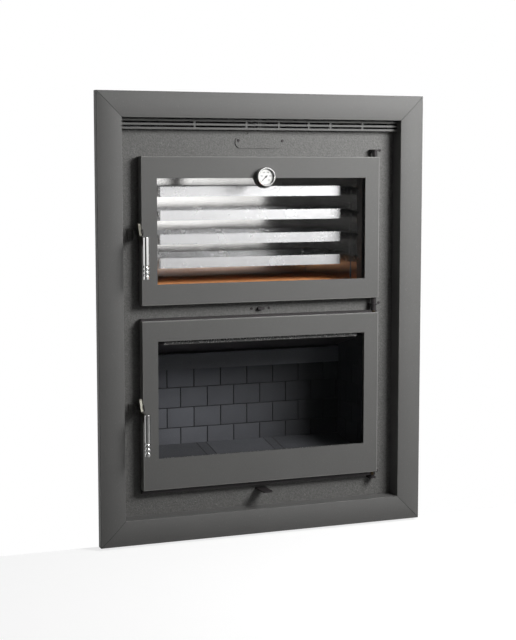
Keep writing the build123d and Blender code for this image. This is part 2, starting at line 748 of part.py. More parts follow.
def grip():
    """Round grip that swells a little towards its foot and has three grooves near it."""
    low = GRIP_TOP - GRIP_LENGTH
    side = Line((GRIP_RADIUS, low), (GRIP_TOP_RADIUS, GRIP_TOP))
    ends = Polyline((GRIP_TOP_RADIUS, GRIP_TOP), (0, GRIP_TOP), (0, low), (GRIP_RADIUS, low))
    bar = revolve(Plane.XZ * make_face(side + ends), Axis.Z)
    rims = [e for e in bar.edges().filter_by(GeomType.CIRCLE)]
    bar = chamfer(rims, GROOVE_DEPTH / 2)
    for turn in range(GROOVE_COUNT):
        height = low + GROOVE_FIRST + turn * GROOVE_PITCH
        bar -= Pos(0, 0, height) * Torus(GRIP_RADIUS + GROOVE_DEPTH / 2, 2 * GROOVE_DEPTH)
    return Pos(-GRIP_X, GRIP_Y, 0) * bar


def latch_stud():
    """Lug on the door's edge, reaching forward to the latch's pivot stud."""
    y, z = LATCH_PIVOT
    lug = (LATCH_SPAN[1] + SLIDE_GAP, -DOOR_HALF)
    plate = rod_x(LUG_RADIUS, LATCH_PIVOT, lug)
    plate += block(lug, (y, DOOR_BACK - DOOR_SHEET), (z - LUG_RADIUS, z + LUG_RADIUS))
    return plate + rod_x(PIVOT_RADIUS, LATCH_PIVOT, (LATCH_SPAN[0], -DOOR_HALF))


def keeper():
    """Keeper on the front plate: a foot, an ear and the pin that the latch hooks behind."""
    y, z = KEEPER_AT
    ear_x = (-LATCH_X - 2 * KEEPER_SHEET, -LATCH_X - KEEPER_SHEET)
    height = (z - 3 * KEEPER_RADIUS, z + 3 * KEEPER_RADIUS)
    foot = block((ear_x[0] - 4 * KEEPER_SHEET, ear_x[1]), (PLATE_FACE - KEEPER_SHEET, PLATE_FACE), height)
    ear = block(ear_x, (y, PLATE_FACE), height) + rod_x(2 * KEEPER_RADIUS, KEEPER_AT, ear_x)
    return foot + ear + rod_x(KEEPER_RADIUS, KEEPER_AT, (ear_x[0], LATCH_SPAN[1] - SLIDE_GAP))


def latch_parts():
    """Both latches; the fire door's is the oven door's, lower by one fixed amount."""
    plate = latch_plate()
    handle = grip() - plate
    lower = Pos(0, 0, -LATCH_DROP)
    return {
        "oven_latch_plate": plate,
        "oven_grip": handle,
        "oven_latch_stud": latch_stud(),
        "fire_latch_plate": lower * plate,
        "fire_grip": lower * handle,
        "fire_latch_stud": lower * latch_stud(),
        "latch_keepers": [keeper(), lower * keeper()],
    }


# Thermometer


def gauge_turned(points):
    """Body of revolution about the thermometer's axis from (radius, depth) corners."""
    turned = revolve(Plane.XZ * make_face(Polyline(*points, close=True)), Axis.Z)
    return Pos(0, 0, GAUGE_Z) * Rot(-90, 0, 0) * turned


def gauge_case():
    """Cup with a rolled rim, closed at the back against the door."""
    inner = GAUGE_RADIUS - GAUGE_WALL
    back = DOOR_FACE - GAUGE_WALL
    return gauge_turned(
        [
            (STEM_RADIUS, DOOR_FACE),
            (GAUGE_RADIUS - 1, DOOR_FACE),
            (GAUGE_RADIUS, DOOR_FACE - 1),
            (GAUGE_RADIUS, GAUGE_FRONT + GAUGE_RIM),
            (GAUGE_RADIUS - GAUGE_RIM / 2, GAUGE_FRONT),
            (inner, GAUGE_FRONT),
            (inner - 1, LENS_FRONT),
            (inner - 1, LENS_FRONT + LENS_SHEET),
            (inner, LENS_FRONT + LENS_SHEET),
            (inner, DIAL_FACE),
            (inner - 1, DIAL_FACE + DIAL_SHEET),
            (inner - 1, back),
            (STEM_RADIUS, back),
        ]
    )


def gauge_dial():
    """Dial with the hole for the needle's spindle."""
    outer = GAUGE_RADIUS - GAUGE_WALL
    hole = SPINDLE_RADIUS + SLIDE_GAP
    back = DIAL_FACE + DIAL_SHEET
    return gauge_turned([(hole, DIAL_FACE), (outer, DIAL_FACE), (outer - 1, back), (hole, back)])


def gauge_lens():
    """Clear lens behind the rim's lip."""
    edge = GAUGE_RADIUS - GAUGE_WALL - 1
    return rod_y(edge, (0, GAUGE_Z), (LENS_FRONT, LENS_FRONT + LENS_SHEET))


def gauge_needle():
    """Tapered pointer with a tail, its hub and the spindle through the dial."""
    tail = -NEEDLE_TAIL
    pointer = make_face(
        Polyline(
            (tail, -NEEDLE_ROOT),
            (NEEDLE_LENGTH, -NEEDLE_TIP),
            (NEEDLE_LENGTH, NEEDLE_TIP),
            (tail, NEEDLE_ROOT),
            close=True,
        )
    )
    front = DIAL_FACE - SLIDE_GAP - NEEDLE_SHEET
    flat = Rot(0, 0, NEEDLE_AT) * pointer + Circle(HUB_RADIUS)
    needle = along_y(flat, (front, front + NEEDLE_SHEET))
    spindle = along_y(Circle(SPINDLE_RADIUS), (front, DOOR_FACE - GAUGE_WALL - SLIDE_GAP))
    return Pos(0, 0, GAUGE_Z) * (needle + spindle)


def gauge_stem():
    """Probe through the door with the nut that holds the case."""
    stem = rod_y(STEM_RADIUS, (0, GAUGE_Z), (DOOR_FACE - GAUGE_WALL, STEM_END))
    skin_back = DOOR_FACE + DOOR_SHEET
    across_corners = NUT_FLATS / 2 / cos(radians(30))
    nut = along_y(RegularPolygon(across_corners, 6), (skin_back, skin_back + NUT_SHEET))
    return stem + Pos(0, 0, GAUGE_Z) * nut


# Oven


def oven_muffle():
    """Sheet-steel chamber behind the mouth collar, open to the front."""
    walls = frame(MOUTH_HALF, MOUTH, MUFFLE_SHEET, (COLLAR_BACK, MUFFLE_BACK))
    outer = MOUTH_HALF + MUFFLE_SHEET
    back = (MUFFLE_BACK, MUFFLE_BACK + MUFFLE_SHEET)
    return walls + block(across(outer), back, grow(MOUTH, MUFFLE_SHEET))


def tray_heights():
    """Rim heights of the trays, from the top one down."""
    return [TRAY_TOP - turn * TRAY_PITCH for turn in range(TRAY_COUNT)]


def tray_runners():
    """One set of runners on each side wall: an angle for each tray, joined by two posts."""
    web = (MOUTH_HALF - RUNNER_SHEET, MOUTH_HALF)
    side = None
    for rim in tray_heights():
        top = rim - TRAY_SHEET - SLIDE_GAP
        length = (RUNNER_FRONT, RUNNER_BACK)
        rail = block((RUNNER_LEDGE, MOUTH_HALF), length, (top - RUNNER_SHEET, top))
        rail += block(web, length, (top - RUNNER_LIP, top))
        side = rail if side is None else side + rail
    post_height = (MOUTH[0] + SLAB_HEIGHT, TRAY_TOP - TRAY_SHEET - SLIDE_GAP)
    for y in RUNNER_POSTS:
        side += block(web, (y - RUNNER_POST_WIDTH / 2, y + RUNNER_POST_WIDTH / 2), post_height)
    return pair(side)


def tray(rim):
    """Baking tray: a shallow pan with rounded corners and a flat flange along each side."""
    depth = TRAY_BACK - TRAY_FRONT
    place = Pos(0, (TRAY_FRONT + TRAY_BACK) / 2, rim - TRAY_HEIGHT)
    outside = extrude(RectangleRounded(2 * TRAY_HALF, depth, TRAY_CORNER), TRAY_HEIGHT)
    room = extrude(
        RectangleRounded(
            2 * (TRAY_HALF - TRAY_SHEET), depth - 2 * TRAY_SHEET, TRAY_CORNER - TRAY_SHEET
        ),
        TRAY_HEIGHT,
    )
    pan = place * (outside - Pos(0, 0, TRAY_SHEET) * room)
    inner = TRAY_HALF - TRAY_SHEET
    run = (TRAY_FRONT + TRAY_CORNER, TRAY_BACK - TRAY_CORNER)
    flange = block((inner, TRAY_FLANGE), run, (rim - TRAY_SHEET, rim))
    pan += flange
    pan += mirror(flange, Plane.YZ)
    return pan


def oven_slab():
    """Fired-clay baking slab on the oven's floor."""
    depth = (COLLAR_BACK + SLAB_MARGIN, MUFFLE_BACK - SLAB_MARGIN)
    return block(across(MOUTH_HALF - SLAB_MARGIN), depth, (MOUTH[0], MOUTH[0] + SLAB_HEIGHT))


# Steel body


def body_shell():
    """Welded body in two steps, open to the front plate, on two welded feet."""
    steps = [
        (PLATE_BACK, BODY_LOW),
        (BODY_LOWER_BACK, BODY_LOW),
        (BODY_LOWER_BACK, BODY_STEP),
        (BODY_UPPER_BACK, BODY_STEP),
        (BODY_UPPER_BACK, BODY_HIGH),
        (PLATE_BACK, BODY_HIGH),
    ]
    inner_back = BODY_LOWER_BACK - BODY_SHEET
    inner = [
        (PLATE_BACK - 1, BODY_FLOOR),
        (inner_back, BODY_FLOOR),
        (inner_back, BODY_STEP + BODY_SHEET),
        (BODY_UPPER_BACK - BODY_SHEET, BODY_STEP + BODY_SHEET),
        (BODY_UPPER_BACK - BODY_SHEET, BODY_HIGH - BODY_SHEET),
        (PLATE_BACK - 1, BODY_HIGH - BODY_SHEET),
    ]
    shell = along_x(make_face(Polyline(*steps, close=True)), across(BODY_HALF))
    shell -= along_x(make_face(Polyline(*inner, close=True)), across(BODY_INNER))
    flue_hole = rod_z(FLUE_BORE + FLUE_WALL, (0, FLUE_Y), (BODY_HIGH - 2 * BODY_SHEET, BODY_HIGH + 1))
    shell -= flue_hole
    shell -= block(
        across(SHUTTER_HALF), (PLATE_BACK + 1, HEARTH_FRONT - 1), (BODY_LOW - 1, BODY_FLOOR + 1)
    )
    for x in across(LEG_HALF):
        span = (x - LEG_WIDTH / 2, x + LEG_WIDTH / 2)
        run = (PLATE_BACK, BODY_LOWER_BACK)
        leg = block(span, run, (CASING[0] + CASING_SHEET, BODY_LOW))
        leg -= block(grow(span, -BODY_SHEET), grow(run, 1), (CASING[0], BODY_LOW - BODY_SHEET))
        shell += leg
    return shell


def flue_collar():
    """Flanged spigot for the flue pipe, on top of the body."""
    outer = FLUE_BORE + FLUE_WALL
    ring = rod_z(outer, (0, FLUE_Y), (BODY_HIGH, FLUE_TOP))
    ring += rod_z(FLUE_FLANGE, (0, FLUE_Y), (BODY_HIGH, BODY_HIGH + FLUE_FLANGE_SHEET))
    return ring - rod_z(FLUE_BORE, (0, FLUE_Y), (BODY_HIGH - 1, FLUE_TOP + 1))


# Firebox


def joint_heights():
    """Heights of the level joints between the brick courses."""
    return [BRICK_FIRST + row * BRICK_HEIGHT for row in range(1, 5)]


def course_joints(face, span, top):
    """Joint grooves on a lining, as blocks: face gives their depth span, span their run across."""
    half = BRICK_JOINT / 2
    cuts = []
    for z in joint_heights():
        if z < top - BRICK_JOINT:
            cuts.append((span, face, (z - half, z + half)))
    for row in range(5):
        low = BRICK_FIRST + row * BRICK_HEIGHT
        high = min(low + BRICK_HEIGHT, top)
        shift = BRICK_LENGTH / 2 if row % 2 == 0 else 0
        place = span[0] - span[0] % BRICK_LENGTH + shift
        while place < span[1] - BRICK_JOINT:
            if place > span[0] + BRICK_JOINT and high > low:
                cuts.append(((place - half, place + half), face, (low, high)))
            place += BRICK_LENGTH
    return cuts


def back_linings():
    """Two brick-faced slabs that form the firebox's back, with a seam in the middle."""
    face = (LINING_FACE - 1, LINING_FACE + JOINT_DEPTH)
    span = (SEAM_GAP / 2, LINING_HALF - SEAM_GAP)
    slab = block(span, (LINING_FACE, LINING_BACK), (BODY_FLOOR, LINING_TOP))
    for x, y, z in course_joints(face, span, LINING_TOP):
        slab -= block(x, y, z)
    return pair(slab)


def lining_top(y):
    """Height of the sloping underside of the baffle at one depth."""
    return BAFFLE_FRONT_LOW - (y - BAFFLE_FRONT) * BAFFLE_SLOPE


def side_linings():
    """Brick-faced side slabs, cut to the baffle's slope at the top."""
    outline = [
        (PLATE_BACK, BODY_FLOOR),
        (LINING_BACK, BODY_FLOOR),
        (LINING_BACK, lining_top(LINING_BACK)),
        (PLATE_BACK, lining_top(PLATE_BACK)),
    ]
    slab = along_x(make_face(Polyline(*outline, close=True)), (LINING_HALF, BODY_INNER))
    face = (LINING_HALF - 1, LINING_HALF + JOINT_DEPTH)
    for y, x, z in course_joints(face, (PLATE_BACK, LINING_FACE), AIR_BAR[1]):
        slab -= block(x, y, z)
    return pair(slab)


def hearth_slabs():
    """Floor slabs and strips that fall from the back wall towards a level front."""
    back = LINING_FACE - SEAM_GAP
    outline = [
        (HEARTH_FRONT, BODY_FLOOR),
        (back, BODY_FLOOR),
        (back, HEARTH_BACK_TOP),
        (HEARTH_BEND, HEARTH_FRONT_TOP),
        (HEARTH_FRONT, HEARTH_FRONT_TOP),
    ]
    section = make_face(Polyline(*outline, close=True))
    edges = [-LINING_HALF, *HEARTH_SEAMS, LINING_HALF]
    return [along_x(section, grow(span, -SEAM_GAP / 2)) for span in zip(edges, edges[1:])]


def baffle():
    """Sloping slab over the fire, lying on the air bar and on both side linings."""
    run = LINING_BACK - BAFFLE_FRONT
    drop = BAFFLE_FRONT_LOW - AIR_BAR[1]
    flat = block(across(BODY_INNER - SEAM_GAP), (0, hypot(run, drop)), (0, BAFFLE_SHEET))
    return Pos(0, BAFFLE_FRONT, BAFFLE_FRONT_LOW) * Rot(-degrees(atan2(drop, run)), 0, 0) * flat


def air_bar():
    """Hollow bar across the back, with a row of air holes in its face."""
    depth = (AIR_BAR_FACE, LINING_BACK)
    bar = block(across(AIR_BAR_HALF), depth, AIR_BAR)
    inside = grow(AIR_BAR, -AIR_BAR_SHEET)
    bar -= block(across(AIR_BAR_HALF + 1), grow(depth, -AIR_BAR_SHEET), inside)
    for turn in range(AIR_HOLES):
        x = (turn - (AIR_HOLES - 1) / 2) * AIR_HOLE_PITCH
        face = (AIR_BAR_FACE - 1, AIR_BAR_FACE + AIR_BAR_SHEET + 1)
        bar -= rod_y(AIR_HOLE_RADIUS, (x, AIR_HOLE_Z), face)
    return bar


# Damper and air control


def damper_shelf():
    """Shelf under the oven with the smoke ports, and the guide that the damper's bar runs in."""
    level = (SHELF_LOW, SHELF_TOP)
    through = grow(level, 1)
    shelf = block(across(BODY_INNER), (PLATE_BACK, BODY_LOWER_BACK - BODY_SHEET), level)
    port = block(SIDE_PORT_X, SIDE_PORT_Y, through)
    shelf -= port
    shelf -= mirror(port, Plane.YZ)
    slot = (DAMPER_PLATE_FRONT + DAMPER_LAP, DAMPER_PLATE_BACK - DAMPER_LAP)
    shelf -= block(across(DAMPER_PLATE_HALF - DAMPER_LAP), slot, through)
    guide_top = SHELF_TOP + GUIDE_HEIGHT
    guide = block(across(GUIDE_HALF), (PLATE_BACK, GUIDE_BACK), (SHELF_LOW, guide_top))
    bar_room = (SHELF_TOP, DAMPER_LOW + DAMPER_HEIGHT + SLIDE_GAP)
    guide -= block(across(DAMPER_HALF + SLIDE_GAP), (PLATE_BACK - 1, GUIDE_BACK + 1), bar_room)
    for x in across(GUIDE_SCREW_X):
        centre = (x, DAMPER_LOW + DAMPER_HEIGHT / 2)
        guide -= rod_y(SCREW_RADIUS + PIN_GAP, centre, (PLATE_BACK - 1, GUIDE_BACK + 1))
    return shelf + guide


def damper_slide():
    """Flat plate that slides over the smoke slot, welded under its round-edged pull bar."""
    low = SHELF_TOP + SLIDE_GAP
    depth = (DAMPER_PLATE_FRONT, DAMPER_PLATE_BACK)
    plate = block(across(DAMPER_PLATE_HALF), depth, (low, low + DAMPER_SHEET))
    section = Pos(0, DAMPER_LOW + DAMPER_HEIGHT / 2) * RectangleRounded(
        2 * DAMPER_HALF, DAMPER_HEIGHT, DAMPER_HEIGHT / 2 - PIN_GAP
    )
    return plate + along_y(section, (DAMPER_FRONT, DAMPER_PLATE_BACK - DAMPER_LAP))


def air_box():
    """Open-topped duct under the body that the combustion air comes through."""
    floor = AIR_TAB_LOW - AIR_TAB_SHEET - SLIDE_GAP
    outer = block(across(AIR_BOX_HALF), (PLATE_BACK, AIR_BOX_BACK), (floor - AIR_BOX_SHEET, BODY_LOW))
    inner_half = AIR_BOX_HALF - AIR_BOX_SHEET
    inner = block(
        across(inner_half), (PLATE_BACK - 1, AIR_BOX_BACK - AIR_BOX_SHEET), (floor, BODY_LOW + 1)
    )
    inlet_front = SHUTTER_FRONT + SHUTTER_LENGTH + INLET_LAP
    inlet = (inlet_front, inlet_front + AIR_TRAVEL - 2 * INLET_LAP)
    hole = block(across(SHUTTER_HALF - INLET_LAP), inlet, (floor - AIR_BOX_SHEET - 1, floor + 1))
    return outer - inner - hole


def air_slide():
    """Pull tab with a tapered front end and the shutter folded under its far end."""
    front = AIR_TAB_FRONT
    back = SHUTTER_FRONT + SHUTTER_LENGTH
    taper = AIR_TAB_TAPER
    outline = Polyline(
        (-AIR_TAB_HALF, back),
        (-AIR_TAB_HALF, front + taper),
        (taper - AIR_TAB_HALF, front),
        (AIR_TAB_HALF - taper, front),
        (AIR_TAB_HALF, front + taper),
        (AIR_TAB_HALF, back),
        close=True,
    )
    tab = Pos(0, 0, AIR_TAB_LOW) * extrude(make_face(outline), AIR_TAB_SHEET)
    shutter_height = (AIR_TAB_LOW - AIR_TAB_SHEET, AIR_TAB_LOW)
    return tab + block(across(SHUTTER_HALF), (SHUTTER_FRONT, back), shutter_height)


# Outer casing


def slot(length):
    """Round-ended vent slot, level along X."""
    return SlotOverall(length, SLOT_WIDTH)


def casing_wrap():
    """Sides and back folded from one sheet, with vent slots low and high."""
    depth = (PLATE_BACK, CASING_BACK)
    wrap = block(across(CASING_HALF), depth, CASING)
    inner_half = CASING_HALF - CASING_SHEET
    wrap -= block(across(inner_half), (PLATE_BACK - 1, CASING_BACK - CASING_SHEET), grow(CASING, 1))
    back_sheet = (CASING_BACK - CASING_SHEET, CASING_BACK)
    for base in (SLOTS_LOW, SLOTS_HIGH):
        for row in range(SLOT_ROWS):
            z = base + row * SLOT_PITCH
            for y in SIDE_SLOTS_Y:
                wrap -= along_x(Pos(y, z) * slot(SLOT_LENGTH), across(CASING_HALF + 1))
            for x in BACK_SLOTS_X:
                wrap -= along_y(Pos(x, z) * slot(SLOT_LENGTH), grow(back_sheet, 1))
    for x, y, z in casing_screw_places():
        wrap -= rod_x(SCREW_RADIUS + PIN_GAP, (y, z), (min(x, 0) * 1.01, max(x, 0) * 1.01))
    return wrap


def casing_top():
    """Top sheet with the flue's hole."""
    inner = across(CASING_HALF - CASING_SHEET)
    depth = (PLATE_BACK, CASING_BACK - CASING_SHEET)
    sheet = block(inner, depth, (CASING[1] - CASING_SHEET, CASING[1]))
    room = FLUE_BORE + FLUE_WALL + CASING_FLUE_ROOM
    return sheet - rod_z(room, (0, FLUE_Y), grow((CASING[1] - CASING_SHEET, CASING[1]), 1))


def casing_base():
    """Bottom sheet that the body's feet stand on."""
    inner = across(CASING_HALF - CASING_SHEET)
    depth = (PLATE_BACK, CASING_BACK - CASING_SHEET)
    return block(inner, depth, (CASING[0], CASING[0] + CASING_SHEET))


def base_frame():
    """Box-section frame that the whole oven stands on: two skids joined by a cross member."""
    height = (FLOOR, CASING[0])
    hollow = grow(height, -SKID_SHEET)
    depth = (PLATE_BACK, CASING_BACK)
    cross = (BASE_CENTRE - SKID_WIDTH / 2, BASE_CENTRE + SKID_WIDTH / 2)
    solid = block(across(SKID_X), cross, height)
    room = block(across(SKID_X), grow(cross, -SKID_SHEET), hollow)
    for x in across(SKID_X):
        span = (x - SKID_WIDTH / 2, x + SKID_WIDTH / 2)
        solid += block(span, depth, height)
        room += block(grow(span, -SKID_SHEET), grow(depth, 1), hollow)
    return solid - room


def casing_screw_places():
    """Places of the screws along the casing's front and rear edges, on both sides."""
    return [
        (x, y, z) for x in across(CASING_HALF) for y in CASING_SCREWS_Y for z in CASING_SCREWS_Z
    ]


def casing_screws():
    """Screws through the casing's sides."""
    solids = []
    for x, y, z in casing_screw_places():
        turn = -90 if x > 0 else 90
        solids.append(Pos(x, y, z) * Rot(0, turn, 0) * screw(CASING_SHEET))
    return solids


def all_parts():
    """Every sub-part by its name, as one solid or a list of solids."""
    parts = {
        "front_plate": front_plate(),
        "grille": grille(),
        "blank_plate": blank_plate(),
        "panel_screws": panel_screws(),
        "hinge_brackets": [bracket(z) for z in (TOP_BRACKET, MIDDLE_BRACKET, BOTTOM_BRACKET)],
        "hinge_pins": hinge_pins(),
        "hinge_collars": hinge_collars(),
        "gauge_case": gauge_case(),
        "gauge_dial": gauge_dial(),
        "gauge_lens": gauge_lens(),
        "gauge_needle": gauge_needle(),
        "gauge_stem": gauge_stem(),
        "oven_muffle": oven_muffle(),
        "tray_runners": tray_runners(),
        "oven_slab": oven_slab(),
        "body_shell": body_shell(),
        "flue_collar": flue_collar(),
        "back_linings": back_linings(),
        "side_linings": side_linings(),
        "hearth_slabs": hearth_slabs(),
        "baffle": baffle(),
        "air_bar": air_bar(),
        "damper_shelf": damper_shelf(),
        "damper_slide": damper_slide(),
        "air_box": air_box(),
        "air_slide": air_slide(),
        "casing_wrap": casing_wrap(),
        "casing_top": casing_top(),
        "casing_base": casing_base(),
        "base_frame": base_frame(),
        "casing_screws": casing_screws(),
    }
    for number, rim in enumerate(tray_heights(), start=1):
        parts[f"tray_{number}"] = tray(rim)
    for group in (trim_parts(), oven_door_parts(), fire_door_parts(), latch_parts()):
        parts.update(group)
    return parts


def write_parts():
    """Moves every sub-part to the shared origin and writes it to its own file."""
    os.makedirs("parts", exist_ok=True)
    place = Pos(0, -BASE_CENTRE, TRIM_LIFT)
    for name, made in all_parts().items():
        solids = made if isinstance(made, list) else made.solids()
        moved = [place * solid for solid in solids]
        whole = moved[0] if len(moved) == 1 else Compound(children=moved)
        whole.label = name
        export_step(whole, f"parts/{name}.step")


write_parts()
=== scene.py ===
"""Looks of a built-in wood-fired oven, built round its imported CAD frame.

The frame gives every solid and every joint. This file gives the solids their finishes, adds the
braided sealing ropes, the turned grips, the button-head screws, the back lining's relief and the
dial's print, and sets the stage: a pale floor, a white wall behind the trim, lamps and the camera.
Lengths are metres, X to the right, Y away from the front and Z up from the base.
"""

import math

import bmesh
import bpy
import numpy as np
from bpy.props import (
    FloatProperty,
    FloatVectorProperty,
    IntProperty,
    PointerProperty,
)
from mathutils import Matrix, Vector


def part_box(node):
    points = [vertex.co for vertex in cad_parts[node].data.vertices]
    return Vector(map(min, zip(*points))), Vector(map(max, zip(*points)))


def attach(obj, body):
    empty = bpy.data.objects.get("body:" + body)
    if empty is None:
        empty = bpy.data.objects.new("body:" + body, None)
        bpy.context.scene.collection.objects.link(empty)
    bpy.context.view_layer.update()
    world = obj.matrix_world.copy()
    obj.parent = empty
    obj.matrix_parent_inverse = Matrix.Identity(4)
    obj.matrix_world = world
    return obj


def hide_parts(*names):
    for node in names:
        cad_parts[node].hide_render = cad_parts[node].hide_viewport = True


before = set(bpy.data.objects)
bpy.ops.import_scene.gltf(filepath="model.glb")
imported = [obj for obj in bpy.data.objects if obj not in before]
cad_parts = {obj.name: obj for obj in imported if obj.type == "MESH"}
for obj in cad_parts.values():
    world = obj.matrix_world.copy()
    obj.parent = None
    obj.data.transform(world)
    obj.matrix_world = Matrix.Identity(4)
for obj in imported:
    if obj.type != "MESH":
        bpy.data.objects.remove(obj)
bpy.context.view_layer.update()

bl_info = {
    "name": "Built-in oven looks",
    "version": (1, 0, 0),
    "blender": (4, 5, 0),
    "location": "3D View > Sidebar > Oven",
    "description": "Finishes, ropes, grips, screws, dial print and stage of a built-in oven",
    "category": "Object",
}

MILLI = 0.001
FULL_TURN = 2 * math.pi
MERGE = 1e-7

# The part's own zero, in millimetres from the frame's zero
PART_ZERO = (0.0, -250.0, 6.0)

# Firebox brickwork and hearth
BRICK_LENGTH = 0.0733
BRICK_HEIGHT = 0.0524
FIRST_COURSE = 0.1892
TRIM_FACE = -0.25
JOINT_WIDTH = 0.0013
JOINT_DEPTH = 0.0016
HEARTH_MIDDLE = 0.0025
MIDDLE_SLAB_HALF = 0.0805
OUTER_SLAB_START = 0.1065

# Thermometer scale: where it starts, how far it turns and its marks
SCALE_START = math.radians(225.0)
SCALE_SWEEP = math.radians(270.0)
SCALE_MARKS = 50
MARKS_PER_NUMBER = 5

# Stage
FRONT_CENTRE = (0.0, TRIM_FACE, 0.55)
CASING_CENTRE = (0.0, 0.0, 0.55)
WALL_HOLE_HALF = 0.4
WALL_HOLE_LOW = 0.03
WALL_HOLE_HIGH = 1.065
WALL_GAP = 0.0004
CAMERA_PLACE = (-1.3044, -3.5020, 0.9130)
CAMERA_TURN = (math.radians(83.914), 0.0, math.radians(-21.49))
SENSOR_WIDTH = 36.0


# Shader trees


class Value:
    """One output of a node. Arithmetic on it adds Math nodes to its tree."""

    def __init__(self, tree, socket):
        self.tree = tree
        self.socket = socket

    def math(self, operation, first, second):
        return self.tree.node("ShaderNodeMath", {"operation": operation}, {0: first, 1: second})

    def __add__(self, other):
        return self.math("ADD", self, other)

    def __sub__(self, other):
        return self.math("SUBTRACT", self, other)

    def __rsub__(self, other):
        return self.math("SUBTRACT", other, self)

    def __mul__(self, other):
        return self.math("MULTIPLY", self, other)

    __radd__ = __add__
    __rmul__ = __mul__

    def most(self, other):
        return self.math("MAXIMUM", self, other)

    def least(self, other):
        return self.math("MINIMUM", self, other)

    def size(self):
        return self.math("ABSOLUTE", self, 0.0)

    def whole(self):
        return self.math("FLOOR", self, 0.0)

    def past_line(self, pitch):
        """Distance to the nearest whole multiple of the pitch."""
        near = self * (1.0 / pitch) + 0.5
        return (near - near.whole() - 0.5).size() * pitch

    def rise(self, low, high):
        """Smooth step: 0 up to low, 1 from high on, or the other way round where low is higher."""
        flat = {"interpolation_type": "SMOOTHSTEP"}
        ends = {"From Min": min(low, high), "From Max": max(low, high)}
        step = self.tree.node("ShaderNodeMapRange", flat, {"Value": self, **ends})
        return step if high > low else 1.0 - step

    def other(self, name):
        return Value(self.tree, self.socket.node.outputs[name])


class Tree:
    """Node tree of one material or of the world, with one method that adds any node."""

    def __init__(self, owner):
        owner.use_nodes = True
        self.nodes = owner.node_tree.nodes
        self.links = owner.node_tree.links
        self.nodes.clear()

    def node(self, kind, settings=None, inputs=None, output=0):
        """Adds a node, sets its settings first and then its sockets, and gives one output."""
        made = self.nodes.new(kind)
        for name, value in (settings or {}).items():
            setattr(made, name, value)
        for name, value in (inputs or {}).items():
            if isinstance(value, Value):
                self.links.new(value.socket, made.inputs[name])
            else:
                made.inputs[name].default_value = value
        return Value(self, made.outputs[output]) if made.outputs else None

    def place(self):
        return self.node("ShaderNodeTexCoord", output="Object")

    def stretched(self, scale, point=None):
        """Place with each axis multiplied, so that a pattern runs long along the smallest one."""
        inputs = {"Vector": point or self.place(), "Scale": scale}
        return self.node("ShaderNodeMapping", inputs=inputs)

    def noise(self, size, point=None, detail=2.0, roughness=0.5):
        """Cloudy noise from 0 to 1 whose features are about size metres across."""
        inputs = {
            "Vector": point or self.place(),
            "Scale": 1.0 / size,
            "Detail": detail,
            "Roughness": roughness,
        }
        return self.node("ShaderNodeTexNoise", inputs=inputs)

    def cells(self, size, output="Distance"):
        """Crystals about size metres across: the distance to the nearest one's seed, or its colour."""
        inputs = {"Vector": self.place(), "Scale": 1.0 / size}
        return self.node("ShaderNodeTexVoronoi", inputs=inputs, output=output)

    def axes(self, point=None):
        """X, Y and Z of the place as three values."""
        x = self.node("ShaderNodeSeparateXYZ", inputs={0: point or self.place()})
        return x, x.other("Y"), x.other("Z")

    def blend(self, low, high, factor):
        """Colour between two colours."""
        inputs = {0: factor, 6: low, 7: high}
        return self.node("ShaderNodeMix", {"data_type": "RGBA"}, inputs, output=2)

    def surface(self, colour, roughness, metallic=0.0, height=None, depth=0.0, **constants):
        """Principled shader with its bump, joined to the output. Constants stay on its own sockets."""
        inputs = {"Base Color": colour, "Roughness": roughness, "Metallic": metallic}
        if height is not None:
            bump = {"Height": height, "Distance": depth}
            inputs["Normal"] = self.node("ShaderNodeBump", inputs=bump)
        inputs.update({name.replace("_", " "): value for name, value in constants.items()})
        shader = self.node("ShaderNodeBsdfPrincipled", inputs=inputs)
        self.node("ShaderNodeOutputMaterial", inputs={"Surface": shader})


def material(name):
    """New material and its empty tree."""
    made = bpy.data.materials.new(name)
    return made, Tree(made)


def shade(colour, factor):
    """Colour made darker or lighter, with its alpha."""
    return (*(min(1.0, part * factor) for part in colour), 1.0)


# Finishes


def heat_paint(name, colour, grain, contrast, mitred=False, lit_edge_solid=None, rough_by=0.0004):
    """Matte heat paint: sand grain, soft clouds, pale specks and a fine rough surface.

    On the mitred trim, paint pools dark in the mitre: where the distance to the trim's side equals
    the distance to its top or bottom, whichever is nearer. A solid named for the lit edge gets a
    painted highlight: it is paler along the outline of its box, fully up to 1.2 mm from it and not
    at all from 2.6 mm on.
    """
    made, tree = material(name)
    sand = tree.noise(grain, detail=3.0, roughness=0.7)
    cloud = tree.noise(0.16, detail=4.0)
    specks = tree.noise(2.4 * grain, detail=1.0).rise(0.66, 0.78)
    tone = 0.5 + (sand - 0.5) * contrast + (cloud - 0.5) * 0.3
    base = tree.blend(shade(colour, 0.66), shade(colour, 1.34), tone)
    base = tree.blend(base, shade(colour, 2.0), specks * 0.3)
    if mitred:
        low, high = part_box("trim_top")[0].x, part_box("trim_top")[1]
        x, _, z = tree.axes()
        ends = (high.z - z).least(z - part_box("trim_bottom")[0].z)
        seam = ((x.size() + low) + ends).size().rise(0.0016, 0.0004)
        base = tree.blend(base, shade(colour, 0.2), seam * 0.8)
    # painted highlight along the outline, where the rounded edges catch the lamp
    if lit_edge_solid:
        low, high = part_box(lit_edge_solid)
        x, _, z = tree.axes()
        inside = (z - low.z).least(high.z - z).least(high.x - x).least(x - low.x)
        painted_edge_highlight = inside.rise(0.0026, 0.0012) * (0.35 + cloud * 0.6)
        base = tree.blend(base, shade(colour, 2.6), painted_edge_highlight)
    rough = 0.46 + sand * 0.16 + cloud * 0.1
    tree.surface(base, rough, height=sand + specks * 0.4, depth=rough_by, Specular_IOR_Level=0.45)
    return made


